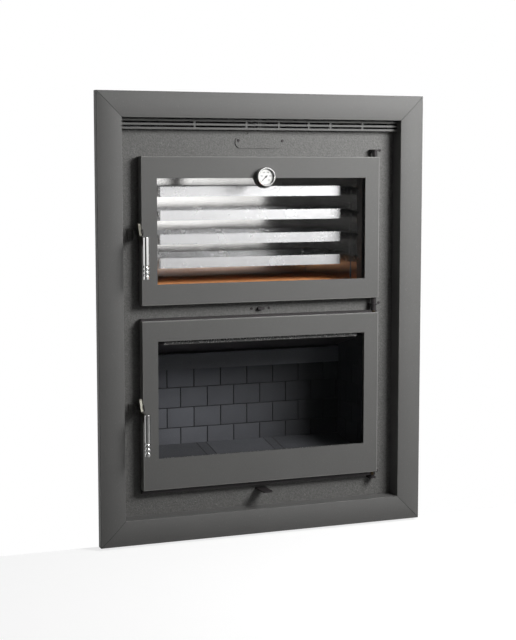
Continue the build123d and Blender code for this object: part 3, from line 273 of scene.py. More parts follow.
def black_steel(name, colour):
    """Blackened plate: uneven oxide with brown-grey clouds and faint rolling lines."""
    made, tree = material(name)
    lines = tree.noise(0.004, tree.stretched((0.05, 1.0, 1.0)), detail=3.0)
    cloud = tree.noise(0.05, detail=5.0, roughness=0.6)
    rusty = (colour[0] * 1.2, colour[1], colour[2])
    base = tree.blend(shade(colour, 0.6), shade(rusty, 1.9), cloud)
    rough = 0.42 + cloud * 0.2 + lines * 0.08
    tree.surface(base, rough, 0.35, height=lines + cloud, depth=0.0003)
    return made


def brushed_steel(name, colour, roughness, spread, grain, tint=0.0):
    """Bright steel brushed along one axis: fine lines, soft smears, and a straw tint from heat."""
    made, tree = material(name)
    lines = tree.noise(0.0012, tree.stretched(grain), detail=4.0, roughness=0.7)
    smear = tree.noise(0.07, detail=3.0)
    base = tree.blend(shade(colour, 0.86), shade(colour, 1.08), lines * 0.6 + smear * 0.4)
    straw = (colour[0] * 0.78, colour[1] * 0.62, colour[2] * 0.4)
    base = tree.blend(base, shade(straw, 1.0), smear.rise(0.45, 0.75) * tint)
    rough = roughness + (lines - 0.5) * spread + (smear - 0.5) * 0.06
    tree.surface(base, rough, 1.0, height=lines, depth=0.00004)
    return made


def speckled_rail(name, colour):
    """Steel rail under soot: dark oxide, with bright specks where the flame keeps it clean."""
    made, tree = material(name)
    speck = tree.cells(0.0035).rise(0.42, 0.2)
    cloud = tree.noise(0.02, detail=4.0)
    base = tree.blend(shade(colour, 0.05), shade(colour, 0.45), speck * (0.3 + cloud * 0.7))
    tree.surface(base, 0.5 + cloud * 0.2, 0.4, height=speck, depth=0.0005)
    return made


def pressed_tray(name, colour):
    """Light aluminised sheet: soft satin clouds, faint drawing lines and a few baked marks."""
    made, tree = material(name)
    lines = tree.noise(0.003, tree.stretched((0.03, 1.0, 1.0)), detail=3.0)
    cloud = tree.noise(0.035, detail=4.0)
    marks = tree.noise(0.012, detail=5.0, roughness=0.65).rise(0.64, 0.8)
    base = tree.blend(shade(colour, 0.94), shade(colour, 1.03), lines * 0.5 + cloud * 0.5)
    baked = (colour[0], colour[1] * 0.9, colour[2] * 0.78)
    base = tree.blend(base, shade(baked, 0.75), marks * 0.25)
    rough = 0.2 + cloud * 0.12 + marks * 0.2
    tree.surface(base, rough, 0.8, height=lines * 0.5 + cloud, depth=0.0001)
    return made


def galvanised(name, colour):
    """Zinc-coated sheet: crystal spangle in flat greys, each with its own gloss."""
    made, tree = material(name)
    spangle = tree.cells(0.011, output="Color")
    grey = tree.node("ShaderNodeSeparateColor", inputs={0: spangle})
    streak = tree.noise(0.02, tree.stretched((1.0, 1.0, 0.1)), detail=3.0)
    base = tree.blend(shade(colour, 0.72), shade(colour, 1.1), grey * 0.55 + streak * 0.45)
    tree.surface(base, 0.34 + grey * 0.2 + streak * 0.08, 0.85, height=grey + streak, depth=0.00004)
    return made


def fired_lining(name, colour, along):
    """Cast refractory brick: own tone for each brick, dark joints, gritty face, soot, and painted shade
    towards the right.

    Upright joints lie every brick length, and half a brick further in every second course. The
    distance to the nearest joint makes the dark line. From X -200 to 260 mm the colour darkens
    towards the right: painted shade, where the door's right side shades the firebox. A lining runs
    along x, like the back, or along y, like the two sides.
    """
    made, tree = material(name)
    x, y, z = tree.axes()
    run = x.size() if along == "x" else y - TRIM_FACE
    up = (z - FIRST_COURSE) * (1.0 / BRICK_HEIGHT)
    row = up.whole()
    odd = row - (row * 0.5).whole() * 2.0
    brick = run * (1.0 / BRICK_LENGTH) + odd * 0.5 - (0.0 if along == "x" else 0.5)
    upright = brick.past_line(1.0) * BRICK_LENGTH
    near = upright.least(up.past_line(1.0) * BRICK_HEIGHT + 0.0004)
    joint = near.rise(0.002, 0.0009)
    corner = tree.node("ShaderNodeCombineXYZ", inputs={0: brick.whole(), 1: row})
    own = tree.node("ShaderNodeTexWhiteNoise", {"noise_dimensions": "3D"}, {"Vector": corner})
    grit = tree.noise(0.0016, detail=4.0, roughness=0.7)
    soot = tree.noise(0.08, detail=4.0)
    tone = 0.32 + own * 0.16 + grit * 0.3 + (soot - 0.5) * 0.5
    base = tree.blend(shade(colour, 0.6), shade(colour, 1.4), tone)
    # painted shade: darker towards the right, from X -200 to 260 mm, where the door's right side shades
    # the firebox
    base = tree.blend(base, shade(colour, 0.12), x.rise(-0.2, 0.26) * 0.9)
    base = tree.blend(base, shade(colour, 0.1), joint * 0.9)
    tree.surface(base, 0.84 + grit * 0.1, height=grit * 0.6 - joint, depth=0.0006)
    return made


def hearth_stone(name, colour):
    """Hearth slabs: gritty stone under ash, paler in the middle slab, dark at the seams."""
    made, tree = material(name)
    x, y, _ = tree.axes()
    grit = tree.noise(0.0018, detail=4.0, roughness=0.7)
    ash = tree.noise(0.05, detail=5.0)
    away = (x - HEARTH_MIDDLE).size()
    middle = away.rise(MIDDLE_SLAB_HALF + MILLI, MIDDLE_SLAB_HALF - MILLI)
    seams = (away - MIDDLE_SLAB_HALF).size().least((away - OUTER_SLAB_START).size())
    near = seams.rise(0.0022, 0.001)
    base = tree.blend(shade(colour, 0.6), shade(colour, 1.5), grit * 0.4 + ash * 0.3 + middle * 0.35)
    base = tree.blend(base, shade(colour, 0.15), near * 0.8)
    tree.surface(base, 0.8 + grit * 0.15, height=grit + ash * 0.5, depth=0.0008)
    return made


def fired_clay(name, colour):
    """Clay baking slab: orange-brown body, paler crumbs, and painted shade towards the back, under the
    trays.
    """
    made, tree = material(name)
    _, y, _ = tree.axes()
    grit = tree.noise(0.002, detail=5.0, roughness=0.7)
    cloud = tree.noise(0.06, detail=4.0)
    crumbs = tree.cells(0.009).rise(0.3, 0.1)
    pale = (colour[0] * 1.5, colour[1] * 1.9, colour[2] * 2.6)
    base = tree.blend(shade(colour, 0.75), shade(colour, 1.25), grit * 0.5 + cloud * 0.5)
    base = tree.blend(base, shade(pale, 1.0), crumbs * 0.25)
    # painted shade: darker towards the back, where the trays above keep the lamp's light off
    shade_under_trays = y.rise(-0.06, 0.14) * (0.35 + cloud * 0.4)
    base = tree.blend(base, shade(colour, 0.4), shade_under_trays)
    tree.surface(base, 0.78 + grit * 0.15, height=grit + cloud * 0.5, depth=0.0007)
    return made


def fire_glass(name, tint, film, streaks):
    """Clear ceramic glass with a thin even film and soft wiping streaks."""
    made, tree = material(name)
    wipe = tree.noise(0.03, tree.stretched((0.35, 1.0, 1.4)), detail=4.0)
    cloud = wipe.rise(0.52, 0.85)
    base = tree.blend(shade(tint, 0.6), shade(tint, 1.0), wipe)
    tree.surface(base, 0.03 + cloud * 0.05, Alpha=film + cloud * streaks, IOR=1.5)
    return made


def woven(name, colour, glint):
    """Glass-fibre yarn: dark strands with pale filaments along them."""
    made, tree = material(name)
    yarn = tree.noise(0.0006, detail=3.0, roughness=0.7)
    soot = tree.noise(0.03, detail=3.0)
    base = tree.blend(shade(colour, 0.5), shade(colour, 1.6), yarn * 0.7 + soot * 0.3)
    base = tree.blend(base, shade(glint, 1.0), yarn.rise(0.6, 0.8) * 0.35)
    tree.surface(base, 0.85 + yarn * 0.1, height=yarn, depth=0.0003, Sheen_Weight=0.15)
    return made


def enamel(name, colour):
    """Smooth enamel with the faintest unevenness."""
    made, tree = material(name)
    cloud = tree.noise(0.008, detail=3.0)
    base = tree.blend(shade(colour, 0.93), shade(colour, 1.03), cloud)
    tree.surface(base, 0.3 + cloud * 0.1, height=cloud, depth=0.00002)
    return made


def dress(nodes, finish):
    """Gives a finish to every material slot of the named solids."""
    for name in nodes:
        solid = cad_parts[name]
        if not solid.material_slots:
            solid.data.materials.append(finish)
        for place in solid.material_slots:
            place.material = finish


# Meshes worked out as whole arrays


def grid_faces(rows, columns, wrap_rows=True, wrap_columns=True):
    """Four-sided faces of a grid of points, joined round where a direction is closed."""
    row = np.arange(rows if wrap_rows else rows - 1)[:, None]
    column = np.arange(columns if wrap_columns else columns - 1)[None, :]
    next_row = (row + 1) % rows
    next_column = (column + 1) % columns
    corners = (
        row * columns + column,
        row * columns + next_column,
        next_row * columns + next_column,
        next_row * columns + column,
    )
    return np.stack(corners, axis=-1).reshape(-1, 4)


def copies(points, faces, places):
    """The same small mesh at each place: its points shifted, and its faces counted on."""
    places = np.asarray(places, float)
    every = points[None, :, :] + places[:, None, :]
    shift = np.arange(len(places))[:, None, None] * len(points)
    return every.reshape(-1, 3), (faces[None] + shift).reshape(-1, faces.shape[1])


def finish_mesh(mesh, sharp):
    """Merges doubles, turns every face outwards and shades smooth up to an angle."""
    work = bmesh.new()
    work.from_mesh(mesh)
    bmesh.ops.remove_doubles(work, verts=work.verts, dist=MERGE)
    bmesh.ops.recalc_face_normals(work, faces=work.faces)
    work.to_mesh(mesh)
    work.free()
    mesh.shade_smooth()
    mesh.set_sharp_from_angle(angle=math.radians(sharp))


def piece(name, points, faces, finish, body, slot, stands_for=None, sharp=40.0):
    """Puts arrays of points and faces into the scene as a piece that rides on a body."""
    mesh = bpy.data.meshes.new(name)
    mesh.from_pydata(points.tolist(), [], faces.tolist())
    finish_mesh(mesh, sharp)
    made = bpy.data.objects.new(name, mesh)
    bpy.context.scene.collection.objects.link(made)
    mesh.materials.append(finish)
    if stands_for:
        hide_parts(stands_for)
    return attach(made, body)


def turned(radii, heights, sides):
    """Round bar about Z: x = r cos a, y = r sin a, z = height, for each ring of radius r.

    Radii are one number for each ring, or one for each ring and angle.
    """
    angle = np.linspace(0.0, FULL_TURN, sides, endpoint=False)
    rings = np.asarray(radii, float).reshape(len(heights), -1)
    radius = np.broadcast_to(rings, (len(heights), sides))
    height = np.broadcast_to(np.asarray(heights, float)[:, None], radius.shape)
    points = np.stack((radius * np.cos(angle), radius * np.sin(angle), height), axis=-1)
    return points.reshape(-1, 3), grid_faces(len(heights), sides, wrap_rows=False)


def ring_path(half_width, half_height, corner, count):
    """Points evenly spaced round a rectangle with round corners, and the outward direction at each.

    Straight runs and quarter circles follow each other. The place along them is the arc length.
    """
    quarter = np.linspace(0.0, math.pi / 2, 33)
    signs = np.array([(1, 1), (-1, 1), (-1, -1), (1, -1)])
    centres = signs * (half_width - corner, half_height - corner)
    angle = quarter[None, :] + np.arange(4)[:, None] * math.pi / 2
    arcs = centres[:, None, :] + corner * np.stack((np.cos(angle), np.sin(angle)), axis=-1)
    line = arcs.reshape(-1, 2)
    line = np.concatenate((line, line[:1]))
    turn = np.concatenate((angle.reshape(-1), [FULL_TURN]))
    reach = np.concatenate(([0.0], np.cumsum(np.hypot(*np.diff(line, axis=0).T))))
    at = np.linspace(0.0, reach[-1], count, endpoint=False)
    spot = np.stack((np.interp(at, reach, line[:, 0]), np.interp(at, reach, line[:, 1])), axis=-1)
    facing = np.interp(at, reach, turn)
    return spot, np.stack((np.cos(facing), np.sin(facing)), axis=-1)


def braided_ring(centre, half_width, half_height, corner, section, braid):
    """Sealing rope in a closed ring, in the XZ plane.

    The section is a rounded square: half sizes times cos and sin of its angle, each to the power
    0.6. Two sets of yarns run round it in opposite turns: the surface sinks by the braid's depth
    times 1 minus the higher of |sin(yarns*angle/2 + turns*place)| and the same with a minus.
    """
    count, sides = braid["stations"], braid["sides"]
    spot, facing = ring_path(half_width, half_height, corner, count)
    angle = np.linspace(0.0, FULL_TURN, sides, endpoint=False)[None, :]
    place = np.linspace(0.0, FULL_TURN, count, endpoint=False)[:, None]
    lean = 0.5 * braid["yarns"] * angle
    turns = 0.5 * braid["turns"] * place
    swell = np.maximum(np.abs(np.sin(lean + turns)), np.abs(np.sin(lean - turns)))
    scale = 1.0 - braid["depth"] * (1.0 - swell)
    out = section[0] * scale * np.sign(np.cos(angle)) * np.abs(np.cos(angle)) ** 0.6
    back = section[1] * scale * np.sign(np.sin(angle)) * np.abs(np.sin(angle)) ** 0.6
    x = centre[0] + spot[:, None, 0] + out * facing[:, None, 0]
    z = centre[2] + spot[:, None, 1] + out * facing[:, None, 1]
    y = centre[1] + back
    points = np.stack((x, np.broadcast_to(y, x.shape), z), axis=-1)
    return points.reshape(-1, 3), grid_faces(count, sides)


def strokes(starts, ends, widths, front, back):
    """Thin raised bars on a dial, each from start to end in (X, Z), between two depths.

    A bar's corners are its two ends, moved to each side by half its width, square to its run.
    """
    starts, ends, widths = (np.asarray(part, float) for part in (starts, ends, widths))
    run = ends - starts
    side = np.stack((-run[:, 1], run[:, 0]), axis=-1) / np.hypot(*run.T)[:, None]
    side = side * widths[:, None] / 2
    flat = np.stack((starts - side, ends - side, ends + side, starts + side), axis=1)
    flat = np.concatenate((flat, flat), axis=1)
    depth = np.broadcast_to(np.repeat((front, back), 4), flat.shape[:2])
    points = np.stack((flat[..., 0], depth, flat[..., 1]), axis=-1).reshape(-1, 3)
    ends_of_box = [(0, 1, 2, 3), (7, 6, 5, 4)]
    box = np.array(ends_of_box + [(0, 4, 5, 1), (1, 5, 6, 2), (2, 6, 7, 3), (3, 7, 4, 0)])
    shift = np.arange(len(starts))[:, None, None] * 8
    return points, (box[None] + shift).reshape(-1, 4)


def flat_ring(centre, inner, outer, front, back, sides):
    """Flat ring on a dial: a rectangle in (radius, depth) carried once round the centre."""
    angle = np.linspace(0.0, FULL_TURN, sides, endpoint=False)[:, None]
    radius = np.array((inner, outer, outer, inner))[None, :]
    depth = np.array((front, front, back, back))[None, :]
    x = centre[0] + radius * np.cos(angle)
    z = centre[2] + radius * np.sin(angle)
    points = np.stack((x, np.broadcast_to(depth, x.shape), z), axis=-1)
    return points.reshape(-1, 3), grid_faces(sides, 4)


def joined(*meshes):
    """Several meshes of four-sided faces as one."""
    points, faces, count = [], [], 0
    for some_points, some_faces in meshes:
        points.append(some_points)
        faces.append(some_faces + count)
        count += len(some_points)
    return np.concatenate(points), np.concatenate(faces)


# What a user would change


def colour(title, about, value):
    """Property for one finish's colour."""
    return FloatVectorProperty(
        name=title, description=about, subtype="COLOR", size=3, min=0.0, max=1.0, default=value
    )


class OvenFinish(bpy.types.PropertyGroup):
    """Colours of the oven's finishes."""

    trim: colour("Trim paint", "Heat paint on the trim frame", (0.108, 0.107, 0.104))
    plate: colour("Plate paint", "Heat paint on the front plate", (0.108, 0.107, 0.103))
    door: colour("Door paint", "Heat paint on both doors", (0.1, 0.099, 0.096))
    black: colour("Black steel", "Blackened brackets, liners and slides", (0.02, 0.02, 0.021))
    raw: colour("Body steel", "Rolled plate behind the front", (0.05, 0.05, 0.053))
    zinc: colour("Casing zinc", "Zinc coat of the casing", (0.55, 0.56, 0.58))
    stainless: colour("Stainless", "Oven lining and runners", (0.9, 0.89, 0.875))
    polished: colour("Polished steel", "Grips and hinge pins", (0.82, 0.82, 0.81))
    latch: colour("Latch steel", "Latch plates", (0.17, 0.165, 0.142))
    tray: colour("Tray", "Baking trays", (0.65, 0.65, 0.655))
    brass: colour("Brass", "Oil-soaked hinge bushes", (0.09, 0.07, 0.045))
    brick: colour("Lining", "Firebox lining", (0.096, 0.099, 0.112))
    clay: colour("Clay slab", "Baking slab of the oven", (0.82, 0.37, 0.135))
    rope: colour("Rope", "Sealing rope's yarn", (0.05, 0.05, 0.052))
    glass: colour("Glass", "Film on the door glass", (0.06, 0.065, 0.068))
    dial: colour("Dial", "Enamel of the thermometer's dial", (0.86, 0.86, 0.84))
    print: colour("Print", "Marks on the dial, and its needle", (0.012, 0.012, 0.014))
    screw: colour("Screws", "Blackened screws", (0.035, 0.035, 0.037))


class OvenDetail(bpy.types.PropertyGroup):
    """Sizes of the pieces that this file makes."""

    rope_yarns: IntProperty(
        name="Rope yarns", description="Yarns in one direction round the rope", default=6
    )
    rope_pitch: FloatProperty(
        name="Rope pitch",
        description="Length of rope in which a yarn goes once round",
        default=0.021,
        unit="LENGTH",
    )
    groove_pitch: FloatProperty(
        name="Groove pitch", description="Distance between a grip's grooves", default=0.01, unit="LENGTH"
    )
    dial_step: IntProperty(name="Dial step", description="Degrees between two numbers", default=100)
    dial_top: IntProperty(name="Dial top", description="Highest number on the dial", default=500)
    number_height: FloatProperty(
        name="Number height", description="Height of the dial's numbers", default=0.0042, unit="LENGTH"
    )
    socket_flats: FloatProperty(
        name="Socket flats", description="Width of a screw's hexagon socket", default=0.0025, unit="LENGTH"
    )


class OvenStage(bpy.types.PropertyGroup):
    """Light, floor, wall and camera."""

    key_power: FloatProperty(
        name="Key lamp", description="Power of the lamp at the upper right", default=47.0
    )
    front_power: FloatProperty(
        name="Front lamp", description="Power of the wide lamp in front", default=3.5
    )
    rear_power: FloatProperty(
        name="Rear lamps", description="Power of each of the two lamps behind the wall", default=70.0
    )
    ambient: FloatProperty(
        name="Ambient", description="Brightness of the room for matt surfaces", default=0.016
    )
    room: FloatProperty(
        name="Room", description="Half width of floor and wall", default=7.0, unit="LENGTH"
    )
    focal: FloatProperty(
        name="Focal length", description="Camera's focal length in millimetres", default=80.775
    )


# Steps


class Step(bpy.types.Operator):
    """One step of the oven's looks"""

    bl_idname = "oven.step"
    bl_label = "Step"
    bl_options = {"UNDO"}

    def execute(self, context):
        self.build(context.scene.oven_finish, context.scene.oven_detail, context.scene.oven_stage)
        return {"FINISHED"}


class OVEN_OT_steelwork(Step):
    """Paint the trim, the front plate and both doors"""

    bl_idname = "oven.steelwork"
    bl_label = "Painted steelwork"

    def build(self, finish, detail, stage):
        trims = ("trim_left", "trim_right", "trim_top", "trim_bottom")
        dress(trims, heat_paint("trim paint", finish.trim, 0.0012, 0.8, mitred=True))
        plate = ("front_plate", "blank_plate", "latch_keepers")
        dress(plate, heat_paint("plate paint", finish.plate, 0.0036, 2.4, rough_by=0.0009))
        # each door gets a painted highlight along its outline
        for door in ("oven_door_frame", "fire_door_frame"):
            dress((door,), heat_paint(f"{door} paint", finish.door, 0.0012, 0.8, lit_edge_solid=door))
        dress(("grille",), heat_paint("grille paint", finish.trim, 0.001, 0.5))


class OVEN_OT_ironwork(Step):
    """Blacken the brackets, liners, slides and the steel body"""

    bl_idname = "oven.ironwork"
    bl_label = "Black ironwork"

    def build(self, finish, detail, stage):
        small = ("hinge_brackets", "hinge_collars", "damper_slide", "air_slide")
        studs = ("oven_latch_stud", "fire_latch_stud", "oven_glass_clips")
        liners = ("oven_door_liner", "fire_door_liner")
        dress(small + studs + liners, black_steel("black steel", finish.black))
        body = ("body_shell", "flue_collar", "damper_shelf", "air_box", "baffle", "air_bar", "base_frame")
        dress(body, black_steel("body steel", finish.raw))
        dress(("casing_wrap", "casing_top", "casing_base"), galvanised("casing zinc", finish.zinc))


class OVEN_OT_brightwork(Step):
    """Brush the oven lining and runners, and polish the pins, latches and bushes"""

    bl_idname = "oven.brightwork"
    bl_label = "Bright metal"

    def build(self, finish, detail, stage):
        level, upright, round_pin = (0.02, 1.0, 1.0), (1.0, 1.0, 0.03), (1.0, 1.0, 0.1)
        lining = brushed_steel("oven lining steel", finish.stainless, 0.13, 0.06, level, tint=0.05)
        dress(("oven_muffle", "tray_runners"), lining)
        dress(("hinge_pins",), brushed_steel("pin steel", finish.polished, 0.16, 0.08, round_pin))
        dress(("fire_glass_rails",), speckled_rail("rail steel", finish.stainless))
        latches = ("oven_latch_plate", "fire_latch_plate")
        dress(latches, brushed_steel("latch steel", finish.latch, 0.36, 0.2, upright, tint=0.15))
        bushes = ("oven_door_bushes", "fire_door_bushes")
        dress(bushes, brushed_steel("brass", finish.brass, 0.3, 0.15, round_pin))
        gauge = ("gauge_case", "gauge_stem")
        duller = shade(finish.polished, 0.8)[:3]
        dress(gauge, brushed_steel("gauge steel", duller, 0.24, 0.1, (1.0, 0.1, 1.0)))


class OVEN_OT_trays(Step):
    """Finish the baking trays and the clay slab"""

    bl_idname = "oven.trays"
    bl_label = "Trays and slab"

    def build(self, finish, detail, stage):
        dress(("tray_1", "tray_2", "tray_3", "tray_4"), pressed_tray("tray sheet", finish.tray))
        dress(("oven_slab",), fired_clay("clay", finish.clay))


class OVEN_OT_firebox(Step):
    """Sink the joints of the back lining and finish the lining, air bar and hearth"""

    bl_idname = "oven.firebox"
    bl_label = "Firebox lining"

    def build(self, finish, detail, stage):
        dress(("air_bar",), heat_paint("air bar paint", finish.brick, 0.0015, 0.8))
        self.back(fired_lining("back lining", finish.brick, "x"))
        dress(("side_linings",), fired_lining("side lining", finish.brick, "y"))
        dress(("hearth_slabs",), hearth_stone("hearth stone", shade(finish.brick, 0.5)[:3]))

    def back(self, finish):
        """Back lining in relief. Its face sinks by the joint's depth times a smooth groove.

        The groove at (X, Z) is 1.25 - distance to the nearest joint / width, kept from 0 to 1. That
        joint is a level one or an upright one of the same course, whichever is nearer.
        """
        low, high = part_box("back_linings")
        near = np.array((-2, -1, -1 / 3, 1 / 3, 1, 2)) * JOINT_WIDTH
        halves, courses = 9, 5
        upright = (np.arange(-halves, halves + 1)[:, None] * BRICK_LENGTH / 2 + near).ravel()
        x = np.concatenate(([low.x], upright[(upright > low.x) & (upright < high.x)], [high.x]))
        level = (FIRST_COURSE + np.arange(courses)[:, None] * BRICK_HEIGHT + near).ravel()
        z = np.concatenate(([low.z], level[(level > low.z) & (level < high.z)], [high.z]))
        up = ((z - FIRST_COURSE) / BRICK_HEIGHT)[:, None]
        run = x[None, :] / BRICK_LENGTH + np.mod(np.floor(up), 2) / 2
        upright_gap = np.abs(run - np.round(run)) * BRICK_LENGTH
        level_gap = np.abs(up - np.round(up)) * BRICK_HEIGHT
        groove = np.clip(1.25 - np.minimum(upright_gap, level_gap) / JOINT_WIDTH, 0.0, 1.0)
        sunk = low.y + JOINT_DEPTH * groove
        face = np.stack(np.broadcast_arrays(x[None, :], sunk, z[:, None]), axis=-1)
        rear = np.stack(np.broadcast_arrays(x[None, :], high.y, z[:, None]), axis=-1)
        points = np.concatenate((face.reshape(-1, 3), rear.reshape(-1, 3)))
        sheet = grid_faces(len(z), len(x), wrap_rows=False, wrap_columns=False)
        count = len(x) * len(z)
        place = np.arange(count).reshape(len(z), len(x))
        rim = np.concatenate((place[0], place[1:, -1], place[-1, -2::-1], place[-2:0:-1, 0]))
        after = np.roll(rim, -1)
        edge = np.stack((rim, after, after + count, rim + count), axis=-1)
        faces = np.concatenate((sheet, sheet[:, ::-1] + count, edge))
        shape = (points, faces, finish)
        piece("back_lining_relief", *shape, "stove", "firebrick", "back_linings", sharp=20.0)


class OVEN_OT_glazing(Step):
    """Glaze both doors and the thermometer"""

    bl_idname = "oven.glazing"
    bl_label = "Glass"

    def build(self, finish, detail, stage):
        dress(("oven_glass", "fire_glass"), fire_glass("door glass", finish.glass, 0.012, 0.02))
        dress(("gauge_lens",), fire_glass("lens glass", finish.glass, 0.02, 0.02))
        tapes = ("oven_glass_tape", "fire_glass_tape")
        dress(tapes, woven("glass tape", shade(finish.rope, 1.4)[:3], (0.5, 0.5, 0.5)))


class OVEN_OT_ropes(Step):
    """Lay a braided sealing rope in each door's channel"""

    bl_idname = "oven.ropes"
    bl_label = "Sealing ropes"

    def build(self, finish, detail, stage):
        yarn = woven("rope yarn", finish.rope, (0.35, 0.35, 0.35))
        for door in ("oven_door", "fire_door"):
            low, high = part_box(f"{door}_rope")
            centre = (low + high) / 2
            thick = (high.y - low.y) / 2
            section = (thick * 8.0 / 9.0, thick)
            half_width = (high.x - low.x) / 2 - section[0]
            half_height = (high.z - low.z) / 2 - section[0]
            yarns = detail.rope_yarns
            turns = round(4 * (half_width + half_height) / detail.rope_pitch) * yarns
            braid = {"stations": 2600, "sides": 24, "yarns": yarns, "turns": turns, "depth": 0.14}
            corner = 12 * MILLI
            shape = braided_ring(centre, half_width, half_height, corner, section, braid)
            piece(f"{door}_braid", *shape, yarn, door, "rope", f"{door}_rope", sharp=80.0)


class OVEN_OT_grips(Step):
    """Turn the two latch grips from polished bar"""

    bl_idname = "oven.grips"
    bl_label = "Latch grips"

    def build(self, finish, detail, stage):
        bright = brushed_steel("grip steel", finish.polished, 0.13, 0.06, (1.0, 1.0, 0.15))
        for latch in ("oven", "fire"):
            low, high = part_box(f"{latch}_grip")
            points, faces = self.bar(high.x - low.x, high.z - low.z, detail.groove_pitch)
            foot = ((low.x + high.x) / 2, (low.y + high.y) / 2, low.z)
            shape = copies(points, faces, [foot])
            piece(f"{latch}_turned_grip", *shape, bright, f"{latch}_latch", "grip_steel", f"{latch}_grip")

    @staticmethod
    def bar(width, length, pitch):
        """Bar whose radius falls evenly from foot to top, with three round grooves near the foot.

        At height z the radius is the lesser of the bar's own and, for each groove at height g,
        R - root of (t squared - (z - g) squared), where R is the bar's foot radius with half a
        groove and t the cutter's radius. Both ends turn in by a small quarter round.
        """
        foot, taper, groove = width / 2, 0.5 * MILLI, 1.4 * MILLI
        lowest, grooves = 11 * MILLI, 3
        heights = np.linspace(0.0, length, 360)
        radius = foot - taper * heights / length
        for turn in range(grooves):
            away = heights - (lowest + turn * pitch)
            cut = np.sqrt(np.clip((2 * groove) ** 2 - away**2, 0.0, None))
            radius = np.minimum(radius, foot + groove / 2 - np.where(cut > 0, cut, 0.0))
        edge = 1.2 * MILLI
        near_end = np.clip(np.minimum(heights, length - heights) / edge, 0.0, 1.0)
        radius = radius - edge * (1.0 - np.sqrt(1.0 - (1.0 - near_end) ** 2))
        radius = np.concatenate(([0.0], radius, [0.0]))
        heights = np.concatenate(([0.0], heights, [length]))
        return turned(radius, heights, 64)


class OVEN_OT_screws(Step):
    """Fit button-head screws with a hexagon socket to the front plate and the casing"""

    bl_idname = "oven.screws"
    bl_label = "Screws"

    def build(self, finish, detail, stage):
        dark = black_steel("screw steel", finish.screw)
        head = self.head(detail.socket_flats)
        forward = head[0] @ np.array(Matrix.Rotation(math.pi / 2, 3, "X")).T
        front = copies(forward, head[1], self.in_frame(self.panel_places()))
        piece("panel_button_screws", *front, dark, "stove", "screw_steel", "panel_screws")
        sides, casing_side = [], 365.0
        for side in (-1, 1):
            outward = head[0] @ np.array(Matrix.Rotation(side * math.pi / 2, 3, "Y")).T
            rows = [(side * casing_side, y, z) for y in (75.0, 425.0) for z in (60.0, 534.0, 1008.0)]
            sides.append(copies(outward, head[1], self.in_frame(rows)))
        piece("casing_button_screws", *joined(*sides), dark, "stove", "screw_steel", "casing_screws")

    @staticmethod
    def in_frame(places):
        """Millimetres from the part's own zero, made metres from the frame's zero."""
        return (np.asarray(places) + PART_ZERO) * MILLI

    @staticmethod
    def panel_places():
        """Place X, seat depth and height of every screw on the front plate, in millimetres."""
        plate_face, badge_face, bracket_screw = 46.0, 44.0, 326.0
        badge = [(x, badge_face, 970.7) for x in (-58.0, 58.0)]
        guide = [(x, plate_face, 558.25) for x in (-23.3, 23.3)]
        brackets = [(bracket_screw, plate_face, z) for z in (949.0, 561.0, 124.0)]
        return badge + guide + brackets

    @staticmethod
    def head(flats):
        """Round head on Z: a dome over a rim, and in it a hexagon pit.

        The dome's radius at share s of its rise is the rim's times the root of 1 - 0.42 s^1.6. The
        pit's radius at angle a is half the flats over cos of the angle from the nearest flat.
        """
        sides = 48
        angle = np.linspace(0.0, FULL_TURN, sides, endpoint=False)
        flat_angle = np.mod(angle + math.pi / 6, math.pi / 3) - math.pi / 6
        pit = flats / 2 / np.cos(flat_angle)
        round_part = np.ones(sides)
        rim, tall = 3.4 * MILLI, 1.8 * MILLI
        rings = [(0 * round_part, 0.0), (rim * round_part, 0.0)]
        for share in np.linspace(0.0, 1.0, 7):
            wide = rim * math.sqrt(1 - 0.42 * share**1.6)
            rings.append((wide * round_part, tall * (0.45 + 0.55 * share)))
        rings += [(1.12 * pit, tall), (pit, 0.95 * tall), (pit, 0.25 * tall)]
        rings.append((0 * round_part, 0.2 * tall))
        return turned(np.array([ring[0] for ring in rings]), [ring[1] for ring in rings], sides)


